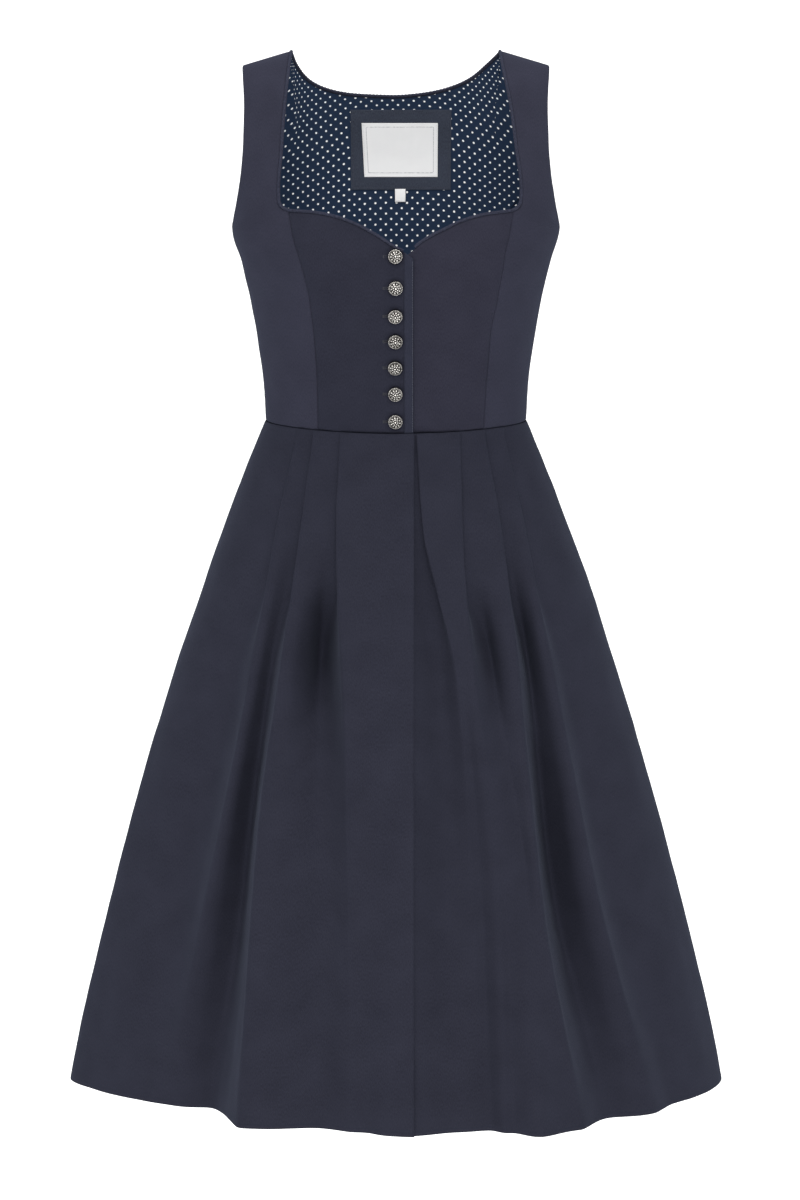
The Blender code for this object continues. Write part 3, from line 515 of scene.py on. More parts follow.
# Worsted twill: a steep diagonal rib of fine yarns, flecked, with a slightly uneven dye
twill, n, given, result = node_group(
    "Shader", "twill_weave",
    [("Dye", "Color", (0.03, 0.03, 0.05, 1)), ("Rib Width", "Float", 0.0009),
     ("Fleck", "Float", 0.2), ("Relief", "Float", 0.00006)],
    [("Colour", "Color"), ("Roughness", "Float"), ("Normal", "Vector")])
flat = n.add("ShaderNodeSeparateXYZ", Vector=n.uv()).outputs
slant = n.plus(flat["X"], n.times(flat["Y"], 0.6))
rib, yarn = (n.math("SINE", n.times(n.math("DIVIDE", run, given["Rib Width"]), turns))
             for run, turns in ((slant, 2 * math.pi), (flat["Y"], 11.0)))
woven = n.plus(n.times(rib, 0.6), n.times(yarn, 0.4))
fleck = n.noise(n.out("ShaderNodeMapping", Vector=n.uv(), Scale=(1300, 420, 1)), 1.0, Detail=2.0)
flecked = n.times(n.plus(fleck, -0.5), n.times(given["Fleck"], 4))
uneven = n.times(n.plus(n.noise(n.uv(), 26.0, Detail=3.0), -0.5), 0.35)
shade = n.plus(n.plus(n.plus(n.times(woven, 0.10), flecked), uneven), 1.0)
dyed = n.out("ShaderNodeVectorMath", {"operation": "SCALE"}, Vector=given["Dye"], Scale=shade)
n.feed(result, Colour=dyed, Roughness=n.math("MULTIPLY_ADD", fleck, -0.25, 0.93),
       Normal=n.bump(0.8, given["Relief"], n.plus(woven, n.times(fleck, 1.5))))


def twill_cloth(name, dye, fleck=0.2, sheen=0.045):
    """Dress cloth in twill of one dye."""
    material, n, shader = new_material(name)
    weave = n.add("ShaderNodeGroup", {"node_tree": twill}, Dye=(*dye, 1), Fleck=fleck).outputs
    n.feed(shader, Base_Color=weave["Colour"], Roughness=weave["Roughness"], Normal=weave["Normal"],
           Sheen_Weight=sheen, Sheen_Roughness=0.4, Sheen_Tint=(0.66, 0.76, 1.0, 1),
           Specular_IOR_Level=0.0)
    return material


# The lining: fine plain cotton, navy, printed with small white dots in staggered rows
DOT_PITCHES, DOT_EDGE = (("X", 0.0107), ("Y", 0.0109)), (0.00100, 0.00118)
dotted_lining, n, shader = new_material("dotted_lining")
wobble = n.add("ShaderNodeTexNoise", Vector=n.uv(), Scale=160.0).outputs["Color"]
wavy = n.out("ShaderNodeVectorMath", {"operation": "MULTIPLY_ADD"}, i0=wobble,
             i1=(0.0008, 0.0008, 0), i2=n.uv())
flat = n.add("ShaderNodeSeparateXYZ", Vector=wavy).outputs
from_dots = []
for shift in (0.0, 0.5):
    squares = []
    for axis, pitch in DOT_PITCHES:
        cell = n.math("FRACT", n.plus(n.math("DIVIDE", flat[axis], pitch), shift))
        offset = n.times(n.plus(cell, -0.5), pitch)
        squares.append(n.times(offset, offset))
    from_dots.append(n.math("SQRT", n.plus(*squares)))
dot = n.spread(n.math("MINIMUM", *from_dots), *DOT_EDGE, 1.0, 0.0)
thread = n.noise(n.out("ShaderNodeMapping", Vector=n.uv(), Scale=(2600, 2600, 1)), 1.0)
ground = n.blend(thread, (0.011, 0.020, 0.043), (0.029, 0.048, 0.089))
n.feed(shader, Base_Color=n.blend(dot, ground, (0.97, 0.98, 0.99)),
       Roughness=n.math("MULTIPLY_ADD", thread, -0.2, 0.9), Normal=n.bump(0.5, 0.00004, thread),
       Specular_IOR_Level=0.0)

# One navy cloth in three dyes: the side fronts with their straps, the back and the side backs are dyed
# lighter, and the left front a little lighter than the right, as painted light for how the light falls
# on each panel.
side_navy = twill_cloth("side_navy", (0.0256, 0.0263, 0.0402))
front_navy = {RIGHT: twill_cloth("navy_cloth", (0.0197, 0.0206, 0.0314)),
              LEFT: twill_cloth("left_front_navy", (0.0228, 0.0230, 0.0352))}
front_seam, strap_edge, front_armhole = (
    {side: upright_line(rows, side) for side in (RIGHT, LEFT)}
    for rows in (FRONT_SEAM, STRAP_EDGE, ARMHOLE))
BELOW_CORNER = cloth_steps(210, 1.6)
front_grids = {}
for side in (RIGHT, LEFT):
    closing = upright_line(CLOSING_EDGE if side == RIGHT else UNDERLAP_EDGE, LEFT)
    centre_grid = lattice(closing, front_seam[side], bodice_bottom, level_line(FRONT_NECKLINE[side]),
                          cloth_steps(112, 1.6), BELOW_CORNER)
    lift = -button_pull(centre_grid)
    if side == LEFT:
        lift = lift + under_closing(centre_grid[0])
    sew_panel(f"centre_front_{SIDE_NAME[side]}", centre_grid, front_navy[side], dotted_lining,
              lift=lift, seed=3 + side)
    corner = share_up(front_seam[side](NECK_CORNER), NECK_CORNER)
    strap_grid = lattice(joined(strap_edge[side], front_seam[side], NECK_CORNER),
                         joined(front_armhole[side], side_seam(side), UNDERARM_HEIGHT),
                         bodice_bottom, shoulder_top, cloth_steps(78),
                         np.concatenate([BELOW_CORNER * corner, mix(corner, 1, cloth_steps(170)[3:])]))
    sew_panel(f"side_front_{SIDE_NAME[side]}", strap_grid, side_navy, dotted_lining, seed=7 + side)
    front_grids[side] = (centre_grid, strap_grid)


# The back and the side backs. A back narrow at the waist widens to carry both straps, and curved
# seams join it to the side backs. Behind the neck opening its dotted lining shows.

BACK_NECKLINE = [
    (-104.5, -1.0), (-100.0, -12.5), (-89.0, -26.5), (-76.0, -34.0), (-60.0, -38.8), (-42.0, -41.4),
    (0.0, -43.0), (25.0, -41.0), (45.0, -37.5), (65.0, -31.0), (78.0, -24.0), (92.0, -12.0),
    (103.5, -1.0)]
NECK_RIGHT, NECK_LEFT = BACK_NECKLINE[0][0], BACK_NECKLINE[-1][0]
BACK_SEAM_TOP = -112
BACK_SEAM = [(BACK_SEAM_TOP, 151.0), (-135, 133.0), (-165, 110.0), (-210, 86.0), (-270, 64.0),
             (-330, 50.0), (-370, 47.0)]
back_armhole, back_seam = (upright_line(rows, LEFT, back=True) for rows in (ARMHOLE, BACK_SEAM))


def back_top(angle):
    """The neckline in the middle, and the shoulder line at the straps."""
    turned = np.where(angle < 0, angle + 2 * math.pi, angle)
    left, right = (angle_at(across, 0, back=True) for across in (NECK_LEFT, NECK_RIGHT))
    in_neck = (turned > left) & (turned < right)
    return np.where(in_neck, level_line(BACK_NECKLINE, back=True)(turned), shoulder_top(turned))


back_left = joined(back_armhole, back_seam, BACK_SEAM_TOP)
outer_angle = float(back_armhole(0))
back_width = 2 * (math.pi - outer_angle)
first = float((angle_at(NECK_LEFT, 0, back=True) - outer_angle) / back_width)
last = float((2 * math.pi - angle_at(-NECK_RIGHT, 0, back=True) - outer_angle) / back_width)
neck_columns = mix(first, last, (1 - np.cos(np.linspace(0, 1, 61) * math.pi)) / 2)
strap_columns = cloth_steps(50)[3:]
back_columns = np.concatenate([cloth_steps(50)[:-3] * first, neck_columns, mix(last, 1, strap_columns)])
seam_top = share_up(back_seam(BACK_SEAM_TOP), BACK_SEAM_TOP)
back_rows = np.concatenate([cloth_steps(250)[:-4] * seam_top, mix(seam_top, 1, cloth_steps(130)[1:])])
back_grid = lattice(back_left, lambda z: 2 * math.pi - back_left(z), bodice_bottom, back_top,
                    back_columns, back_rows, level_to=seam_top)
sew_panel("back", back_grid, side_navy, side_navy, seed=11)
sew_panel("back_lining", back_grid, dotted_lining, dotted_lining, thickness=1.0,
          lift=-(CLOTH + SEAM_GAP), seed=11)

side_top = [row for row in ARMHOLE if row[0] <= BACK_SEAM_TOP] + [(BACK_SEAM_TOP, 151)]
for side in (RIGHT, LEFT):
    curve = smooth([side * angle_at(across, height, back=True) for height, across in side_top],
                   [height for height, _ in side_top])
    side_grid = lattice(side_seam(side), lambda z: side * back_seam(z), bodice_bottom, curve,
                        cloth_steps(90), cloth_steps(230))
    sew_panel(f"side_back_{SIDE_NAME[side]}", side_grid, side_navy, dotted_lining, seed=15 + side)


# The placket strip. A narrow folded strip of the dress cloth runs down the closing edge of the
# right front, from the neckline to the waist seam. It is edge-stitched on its outer side.

PLACKET_CLOTH, PLACKET_STAND = 1.0, 1.2
placket_grid = lattice(upright_line(PLACKET_EDGE, LEFT), upright_line(CLOSING_EDGE, LEFT),
                       bodice_bottom, level_line(FRONT_NECKLINE[RIGHT]), cloth_steps(9.6, 1.0),
                       cloth_steps(170))
placket_cloth = twill_cloth("placket_cloth", (0.0225, 0.0243, 0.0375))
placket = sew_panel("placket", placket_grid, placket_cloth, placket_cloth,
                    thickness=PLACKET_CLOTH, lift=PLACKET_STAND - button_pull(placket_grid),
                    seams=0.4, seed=23, roll=0.45)


def geometry_group(name, takes):
    """A Geometry Nodes group, with a geometry among its inputs and as its output."""
    return node_group("Geometry", name, [("Geometry", "Geometry", None), *takes],
                      [("Geometry", "Geometry")])


def end_group(n, grown, material, result):
    """Ends a Geometry Nodes group with one smooth mesh of one material."""
    real = n.out("GeometryNodeRealizeInstances", Geometry=grown)
    shaded = n.out("GeometryNodeSetShadeSmooth", Geometry=real)
    n.feed(result, Geometry=n.out("GeometryNodeSetMaterial", Geometry=shaded, Material=material))


def grow(name, seed_data, group, slot, **inputs):
    """Runs a Geometry Nodes group on a mesh or curve and keeps its result as a plain mesh."""
    source = put(name + "_path", seed_data)
    modifier = source.modifiers.new("grown", "NODES")
    modifier.node_group = group
    for socket in group.interface.items_tree:
        title = socket.name.replace(" ", "_")
        if socket.in_out == "INPUT" and title in inputs:
            modifier[socket.identifier] = inputs[title]
    evaluated = source.evaluated_get(bpy.context.evaluated_depsgraph_get())
    mesh = bpy.data.meshes.new_from_object(evaluated)
    mesh.name = name
    source.modifiers.clear()
    bpy.data.objects.remove(source)
    piece = put(name, mesh)
    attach(piece, "root")
    return piece


# One small thread bar on each point, laid along the point's own direction
stitches, n, given, result = geometry_group("run_of_stitches", [
    ("Stitch Length", "Float", 0.002), ("Thread Radius", "Float", 0.00016),
    ("Unevenness", "Float", 0.12), ("Seed", "Int", 1), ("Thread", "Material", None)])
ball = n.out("GeometryNodeMeshUVSphere", Segments=8, Rings=6, Radius=1.0)
thread_size = n.out("ShaderNodeCombineXYZ", X=n.times(given["Stitch Length"], 0.5),
                    Y=given["Thread Radius"], Z=given["Thread Radius"])
bar = n.out("GeometryNodeTransform", Geometry=ball, Scale=thread_size)
along, upward = (n.out("GeometryNodeInputNamedAttribute", {"data_type": "FLOAT_VECTOR"}, Name=title)
                 for title in ("along", "upward"))
laid = n.out("FunctionNodeAxesToRotation", {"primary_axis": "X", "secondary_axis": "Z"},
             Primary_Axis=along, Secondary_Axis=upward)
tilt = n.out("FunctionNodeRandomValue", {"data_type": "FLOAT_VECTOR"}, Seed=given["Seed"],
             i0=n.times(given["Unevenness"], -1.0), i1=given["Unevenness"])
turned = n.out("FunctionNodeRotateRotation", {"rotation_space": "LOCAL"}, Rotation=laid,
               Rotate_By=tilt)
size = n.add("FunctionNodeRandomValue", {"data_type": "FLOAT"}, Seed=given["Seed"], i2=0.88, i3=1.1)
sewn = n.out("GeometryNodeInstanceOnPoints", Points=given["Geometry"], Instance=bar,
             Rotation=turned, Scale=size.outputs[1])
end_group(n, sewn, given["Thread"], result)


def sewing_thread(name, colour):
    """Twisted polyester thread: a soft gleam and a fine spiral."""
    material, n, shader = new_material(name)
    ply = n.noise(n.add("ShaderNodeTexCoord").outputs["Object"], 2400.0, Detail=1.0)
    dark, light = [c * 0.6 for c in colour], [min(1.0, c * 1.35) for c in colour]
    n.feed(shader, Base_Color=n.blend(ply, dark, light), Normal=n.bump(0.5, 0.00005, ply),
           Roughness=n.math("MULTIPLY_ADD", ply, 0.2, 0.5))
    return material


def thread_points(name, places, directions, normals):
    """A mesh of bare points that carry the direction of a stitch and of the cloth's face."""
    mesh = bpy.data.meshes.new(name)
    mesh.from_pydata((np.asarray(places) * MM).tolist(), [], [])
    for title, values in (("along", directions), ("upward", normals)):
        layer = mesh.attributes.new(title, "FLOAT_VECTOR", "POINT")
        layer.data.foreach_set("vector", np.asarray(values, float).ravel())
    return mesh


def read_at(values, reach, at):
    """Vectors read at distances along a line, where reach holds those of its points."""
    return np.stack([np.interp(at, reach, values[:, k]) for k in range(3)], -1)


def sew_line(name, line, normals, spacing, thread, slot, length, radius=0.17, seed=1):
    """Machine stitches along a line of points on a face of cloth, in millimetres."""
    reach = run_lengths(line)
    at = np.linspace(spacing / 2, reach[-1] - spacing / 2, int(reach[-1] / spacing))
    places, facing = read_at(line, reach, at), read_at(normals, reach, at)
    directions = np.gradient(places, axis=0)
    sunk_places = places + facing * (radius * 0.6 - 0.02)
    grow(name, thread_points(name, sunk_places, directions, facing), stitches, slot,
         Stitch_Length=length * MM, Thread_Radius=radius * MM, Seed=seed, Thread=thread)


navy_thread = sewing_thread("navy_thread", (0.034, 0.036, 0.056))
edge_line, edge_normals, _ = on_form(CLOSING_ACROSS - 1.3, np.linspace(-203, -368, 120))
sew_line("placket_stitches", edge_line + edge_normals * PLACKET_STAND, edge_normals, 2.4,
         sewing_thread("placket_thread", (0.066, 0.074, 0.100)), "dark_cord", 2.2, seed=5)


# The piping. A soft twisted cord in a bias strip edges the neck, one length on each front and one
# across the back. It is caught in the neck seam, and the twist shows through as small ridges.

PIPING_RADIUS, PIPING_SUNK, PIPING_STEP = 1.5, 0.3, 2.0

cord_tree, n, given, result = geometry_group("covered_cord", [
    ("Radius", "Float", 0.0015), ("Twist Relief", "Float", 0.13), ("Twist Pitch", "Float", 0.0036),
    ("Strands", "Int", 2), ("Step", "Float", 0.0006), ("Cover", "Material", None)])
path = n.out("GeometryNodeResampleCurve", {"mode": "LENGTH"}, Curve=given["Geometry"],
             Length=given["Step"])
held = n.add("GeometryNodeCaptureAttribute")
held.capture_items.new("FLOAT", "run")
held.capture_items.new("VECTOR", "core")
n.feed(held, i0=path, i1=n.add("GeometryNodeSplineParameter").outputs["Length"],
       i2=n.out("GeometryNodeInputPosition"))
ring = n.out("GeometryNodeCurvePrimitiveCircle", {"mode": "RADIUS"}, Resolution=18,
             Radius=given["Radius"])
circle = n.add("GeometryNodeCaptureAttribute")
circle.capture_items.new("FLOAT", "turn")
n.feed(circle, i0=ring, i1=n.add("GeometryNodeSplineParameter").outputs["Factor"])
(cord, run, core), (profile, turn) = held.outputs[:3], circle.outputs[:2]
tube = n.out("GeometryNodeCurveToMesh", Curve=cord, Profile_Curve=profile, Fill_Caps=True)
spiral = n.plus(n.times(turn, given["Strands"]), n.math("DIVIDE", run, given["Twist Pitch"]))
swell = n.times(n.math("COSINE", n.times(spiral, 2 * math.pi)), given["Twist Relief"])
spoke = n.out("ShaderNodeVectorMath", {"operation": "SUBTRACT"},
              i0=n.out("GeometryNodeInputPosition"), i1=core)
push = n.out("ShaderNodeVectorMath", {"operation": "SCALE"}, Vector=spoke, Scale=swell)
swollen = n.out("GeometryNodeSetPosition", Geometry=tube, Offset=push)
around = n.times(turn, n.times(given["Radius"], 2 * math.pi))
mapped = n.out("GeometryNodeStoreNamedAttribute", {"data_type": "FLOAT2", "domain": "CORNER"},
               Geometry=swollen, Name="cloth", Value=n.out("ShaderNodeCombineXYZ", X=around, Y=run))
end_group(n, mapped, given["Cover"], result)

# The cover is the dress cloth dyed lighter than the fronts: a painted highlight along the round cord.
piping_cloth = twill_cloth("piping_cloth", (0.027, 0.029, 0.045), fleck=0.5, sheen=0.03)


def along_line(points, ends=0.0):
    """The points read again at an even spacing, and their distances from the start."""
    reach = run_lengths(points)
    at = np.linspace(ends, reach[-1] - ends, max(2, int(round(reach[-1] / PIPING_STEP)) + 1))
    return read_at(points, reach, at), at


def lay_piping(node, angle, travel, neck_side, lift=0.0):
    """A piping beside a panel's edge. neck_side is 1 where the neck lies left of that edge."""
    points, normals = form_point(angle, travel), form_normal(angle, travel)
    points = points + normals * np.broadcast_to(lift - CLOTH / 2, angle.shape)[..., None]
    even, at = along_line(points)
    facing = read_at(normals, run_lengths(points), at)
    outward = unit(neck_side * np.cross(facing, np.gradient(even, axis=0)))
    centres = even + outward * (PIPING_RADIUS - PIPING_SUNK)
    for _ in range(4):
        centres[1:-1] = (centres[:-2] + 2 * centres[1:-1] + centres[2:]) / 4
    centres, _ = along_line(centres, ends=0.9)
    curve = bpy.data.curves.new(node + "_line", "CURVE")
    curve.dimensions = "3D"
    path_line = curve.splines.new("POLY")
    path_line.points.add(len(centres) - 1)
    path_line.points.foreach_set("co", np.column_stack([centres * MM, np.ones(len(centres))]).ravel())
    piece = grow(node + "_cord", curve, cord_tree, "dark_cord", Radius=PIPING_RADIUS * MM,
                 Cover=piping_cloth)
    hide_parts(node)


for side in (RIGHT, LEFT):
    centre_grid, strap_grid = front_grids[side]
    corner = len(BELOW_CORNER) - 1
    angle, travel = (np.concatenate([strap[0, :corner:-1], centre[::-1, -1]])
                     for centre, strap in zip(centre_grid, strap_grid))
    across = form_point(angle, travel)[:, 0]
    shown = across < 8.5 if side == RIGHT else across > 17.0
    angle, travel = angle[shown], travel[shown]
    lay_piping(f"neck_piping_{SIDE_NAME[side]}", angle, travel, -side,
               0.0 if side == RIGHT else under_closing(angle))
angle, travel = back_grid[0][:, -1], back_grid[1][:, -1]
across = form_point(angle, travel)[:, 0]
in_neck = (across > NECK_RIGHT - 0.2) & (across < NECK_LEFT + 0.2)
lay_piping("neck_piping_back", angle[in_neck], travel[in_neck], 1)


# The label. A patch of dress cloth is stitched to the lining below the back neck, with a bare
# white ribbon label on it. A small loop of white ribbon for the size hangs from its lower edge.

Plate = namedtuple("Plate", "node low_x high_x bottom top face thickness slant")
LINING_FACE = CLOTH + SEAM_GAP + 1.0
LABEL_PATCH = Plate("label_patch", -46, 56, -136, -54, LINING_FACE + 0.25, 1.0, 0.0)
RIBBON_LABEL = Plate("label", -35, 42.5, -123, -67, LINING_FACE + 1.55, 0.6, 2.6)

# White satin ribbon with fine ribs, and a thin grey line woven inside its edge
RIB_PITCH, LINE_OUTER, LINE_INNER = 0.00042, (0.0039, 0.0041), (0.0045, 0.0047)
ribbon, n, shader = new_material("white_ribbon")
flat = n.add("ShaderNodeSeparateXYZ", Vector=n.uv()).outputs
rib = n.math("SINE", n.times(flat["Y"], 2 * math.pi / RIB_PITCH))
yarns = n.noise(n.out("ShaderNodeMapping", Vector=n.uv(), Scale=(300, 2600, 1)), 1.0, Detail=2.0)
edge = n.add("ShaderNodeAttribute", {"attribute_name": "from_edge"}).outputs["Fac"]
line = n.times(n.spread(edge, *LINE_OUTER), n.spread(edge, *LINE_INNER, 1.0, 0.0))
white = n.blend(n.noise(n.uv(), 55.0), (0.92, 0.93, 0.94), (0.97, 0.97, 0.97))
woven = n.blend(n.times(yarns, 0.35), white, (0.88, 0.89, 0.91))
n.feed(shader, Roughness=n.math("MULTIPLY_ADD", yarns, 0.25, 0.4),
       Base_Color=n.blend(n.times(line, n.spread(yarns, 0.35, 0.6)), woven, (0.34, 0.35, 0.38)),
       Normal=n.bump(0.6, 0.00005, n.plus(n.times(rib, 0.5), yarns)))


def plate_grid(plate):
    """The plate's grid over the back of the form, as angles and travels."""
    left, right = (upright_line([(plate.top, x), (plate.bottom, x + slant)], LEFT, back=True)
                   for x, slant in ((plate.high_x, 0), (plate.low_x, plate.slant)))
    bottom, top = (lambda a, z=z: np.full_like(a, z) for z in (plate.bottom, plate.top))
    return lattice(left, right, bottom, top, cloth_steps(plate.high_x - plate.low_x, 2.0),
                   cloth_steps(plate.top - plate.bottom, 2.0))


def sew_plate(plate, fabric, seed, waves):
    """A flat piece sewn to what lies behind it. Its visible face is turned to the neck opening."""
    grid = plate_grid(plate)
    points, normals = form_point(*grid), form_normal(*grid)
    edge = np.minimum(*from_edges(points))
    pressed = 0.25 * np.exp(-((edge / 0.7) ** 2))
    wavy = waves * (rumple(points, 26, seed) + 0.5 * rumple(points, 11, seed + 1))
    wavy += 0.12 * rumple(points, 5, seed + 2) * np.exp(-((edge - 2.0) ** 2) / 3)
    wavy -= 0.25 * np.exp(-(((edge - 2.0) / 0.7) ** 2))
    face = points - normals * (plate.face + plate.thickness + wavy - pressed)[..., None]
    piece = shell(plate.node + "_cloth", face, points - normals * plate.face, fabric)
    layer = piece.data.attributes.new("from_edge", "FLOAT", "POINT")
    rim = np.zeros(len(piece.data.vertices) - 2 * edge.size)
    layer.data.foreach_set("value", np.concatenate([edge.ravel(), edge.ravel(), rim]) * MM)
    cut_of(piece, plate.node, face)
    return face, -normals


def edge_run(face, facing, inset, names):
    """Lines on a plate's face, an inset in from its edges of these names."""
    across, up = run_lengths(face, 0)[:, face.shape[1] // 2], run_lengths(face, 1)[face.shape[0] // 2]
    (i0, i1), (j0, j1) = ((np.searchsorted(run, inset), np.searchsorted(run, run[-1] - inset) - 1)
                          for run in (across, up))
    sides = {"first": (i0, slice(j0, j1 + 1)), "last": (i1, slice(j0, j1 + 1)),
             "bottom": (slice(i0, i1 + 1), j0), "top": (slice(i0, i1 + 1), j1)}
    return [(name, face[sides[name]], facing[sides[name]]) for name in names]


# The patch is dyed over twice as light as the bodice cloth: painted light for the inside of the neck,
# which the lamps reach less.
patch_cloth = twill_cloth("patch_cloth", (0.048, 0.056, 0.079), fleck=0.25)
patch = sew_plate(LABEL_PATCH, patch_cloth, 61, 0.3)
for name, line, facing in edge_run(*patch, 2.0, ("first", "last", "bottom", "top")):
    sew_line(f"patch_stitches_{name}", line, facing, 2.5, navy_thread, "dark_cord", 2.1, seed=11)
label = sew_plate(RIBBON_LABEL, ribbon, 71, 0.22)
white_thread = sewing_thread("white_thread", (0.62, 0.63, 0.66))
for name, line, facing in edge_run(*label, 1.2, ("first", "last")):
    sew_line(f"label_stitches_{name}", line, facing, 1.9, white_thread, "white_ribbon", 1.5,
             radius=0.14, seed=13)

# The size loop: one strip folded in half, so that its fold hangs down and both ends are caught
TAG_LOW_X, TAG_HIGH_X, TAG_TOP, TAG_BOTTOM, TAG_CLOTH = -1.0, 9.6, -135.2, -148.3, 0.3
loop_profile = [(TAG_TOP, 0.3)] + [(z, 0.35) for z in np.linspace(TAG_TOP - 1, TAG_BOTTOM + 1, 13)]
loop_profile += [(TAG_BOTTOM + 1 - math.sin(a), 1.05 - 0.7 * math.cos(a))
                 for a in np.linspace(0.3, 2.84, 9)]
loop_profile += [(z, 1.75 + 0.25 * math.sin((z - TAG_BOTTOM) / 13 * math.pi))
                 for z in np.linspace(TAG_BOTTOM + 1, TAG_TOP, 13)]
heights, stand = np.array(loop_profile).T
tag_outer, tag_inner = [], []
for share in cloth_steps(TAG_HIGH_X - TAG_LOW_X, 1.0):
    base, facing, _ = on_form(mix(TAG_HIGH_X, TAG_LOW_X, share), heights, back=True)
    strip = base - facing * (LINING_FACE + stand + 0.12 * math.sin(share * 5))[:, None]
    bend = unit(np.cross(np.gradient(strip, axis=0), (1, 0, 0)))
    tag_outer.append(strip + bend * TAG_CLOTH / 2)
    tag_inner.append(strip - bend * TAG_CLOTH / 2)
tag = shell("size_tag_loop", np.array(tag_outer), np.array(tag_inner), ribbon)
tag.data.attributes.new("from_edge", "FLOAT", "POINT")
cut_of(tag, "size_tag", np.array(tag_outer))


# The buttons. Seven cast domes in old silver, each with a beaded rim around a rosette, hang on a
# shank and thread. They pass through horizontal buttonholes worked in near-black thread, darker than
# the navy thread elsewhere, so that part of its darkness is painted shade in the slits beside the
# buttons.

BUTTON_RADIUS, BUTTON_STAND, DOME_RISE, RELIEF, SHANK_END = 7.15, 1.9, 4.4, 0.75, 0.4

# Tarnished silver: dark tarnish in the hollows of the relief and bright wear on its crests, with the
# contrast pushed further as painted highlight and painted shade
silver, n, shader = new_material("old_silver")
crest = n.add("ShaderNodeAttribute", {"attribute_name": "crest"}).outputs["Fac"]
patina = n.noise(n.add("ShaderNodeTexCoord").outputs["Object"], 420.0, Detail=4.0)
wear_and_painted_light = n.spread(n.plus(crest, n.times(patina, 0.6)), 0.58, 1.05)
n.feed(shader, Base_Color=n.blend(wear_and_painted_light, (0.008, 0.007, 0.006), (0.92, 0.89, 0.85)), Metallic=0.9,
       Roughness=n.spread(wear_and_painted_light, 0, 1, 0.75, 0.28), Normal=n.bump(0.4, 0.00008, patina))


def rosette(share, turn):
    """Height of the cast relief, 0 to 1, at a share of the radius and an angle."""
    def around(count, shift=0.0):
        return np.abs(np.cos(count / 2 * (turn + shift)))

    def band(middle, width):
        return np.exp(-(((share - middle) / width) ** 2))

    beads = band(0.90, 0.052) * around(26) ** 0.6
    rope = band(0.775, 0.032) * (0.55 + 0.45 * np.cos(40 * turn + 60 * share))
    outer_petals = band(0.60, 0.105) * around(10) ** 1.3
    veins = 0.35 * band(0.60, 0.08) * around(30)
    inner_petals = 0.9 * band(0.33, 0.085) * around(7, 0.3) ** 1.1
    grains = 0.8 * band(0.46, 0.03) * around(20, 0.1) ** 2
    knob = np.exp(-((share / 0.13) ** 4)) * (0.75 + 0.25 * around(6) * ease(share, 0, 0.12))
    return np.clip(np.max([beads, rope, outer_petals - veins, inner_petals, grains, knob], 0), 0, 1)


def button_shape(seed):
    """Points, faces and crest values of one button in its own frame, its crown along +Z."""
    rng = np.random.default_rng(seed)
    shares, turns = np.linspace(0.0, 1.0, 45)[1:], np.arange(156) / 156 * 2 * math.pi
    share, turn = np.meshgrid(shares, turns, indexing="ij")
    relief = rosette(share, turn) * (1 - 0.12 * rng.random()) * (1 - ease(share, 0.97, 1.0))
    dome = BUTTON_STAND + DOME_RISE * np.sqrt(np.clip(1 - (share * 0.985) ** 2, 0, 1))
    radius = BUTTON_RADIUS * share * (1 + 0.012 * relief)
    front = np.stack([radius * np.cos(turn), radius * np.sin(turn), dome + relief * RELIEF], -1)
    back = [(1.0, BUTTON_STAND + 0.2), (0.985, BUTTON_STAND - 0.25), (0.9, BUTTON_STAND - 0.35),
            (0.4, BUTTON_STAND - 0.2), (0.24, BUTTON_STAND - 0.4), (0.2, SHANK_END)]
    circle = np.stack([np.cos(turns), np.sin(turns)], -1)
    rings = [np.column_stack([circle * r * BUTTON_RADIUS, np.full(len(turns), z)]) for r, z in back]
    grid = np.concatenate([front, rings])
    # Crests dimmed by up to a tenth towards the rim: painted shade at the rounding edge of the dome.
    wear_and_painted_light = relief * (1 - 0.1 * ease(share, 0.6, 1.0))
    crest = np.concatenate([wear_and_painted_light, np.full((len(back), len(turns)), 0.1)])
    own = np.arange(crest.size).reshape(crest.shape)
    after = np.roll(own, -1, axis=1)
    quads = np.stack([own[:-1], own[1:], after[1:], after[:-1]], -1).reshape(-1, 4)
    crown, foot = crest.size, crest.size + 1
    fans = [(crown, int(a), int(b)) for a, b in zip(own[0], after[0])]
    fans += [(foot, int(b), int(a)) for a, b in zip(own[-1], after[-1])]
    ends = [[0, 0, BUTTON_STAND + DOME_RISE + RELIEF * 0.8], [0, 0, SHANK_END]]
    points = np.concatenate([grid.reshape(-1, 3), ends])
    return points, quads.tolist() + fans, np.concatenate([crest.ravel(), [1.0, 0.1]])


for number, height in enumerate(BUTTON_HEIGHTS, start=1):
    place, normal, _ = on_form(BUTTON_ACROSS, height)
    place, normal = np.array(Vector(place)), Vector(normal)
    rng = np.random.default_rng(80 + number)
    lean = Vector((rng.uniform(-0.05, 0.05), 0, rng.uniform(-0.06, 0.02)))
    turn = (normal + lean).normalized().to_track_quat("Z", "Y").to_matrix()
    spin = rng.uniform(0, 2 * math.pi)
    points, faces, crest = button_shape(number)
    cos, sin = math.cos(spin), math.sin(spin)
    spun = points @ np.array([[cos, sin, 0], [-sin, cos, 0], [0, 0, 1]])
    set_down = spun @ np.array(turn).T + place + np.array(normal) * (0.15 - BUTTON_PULL * 0.85)
    mesh = smooth_mesh(f"button_{number}_dome", (set_down * MM).tolist(), faces, silver)
    mesh.attributes.new("crest", "FLOAT", "POINT").data.foreach_set("value", crest)
    button = put(mesh.name, mesh)
    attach(button, "root")
    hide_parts(f"button_{number}")

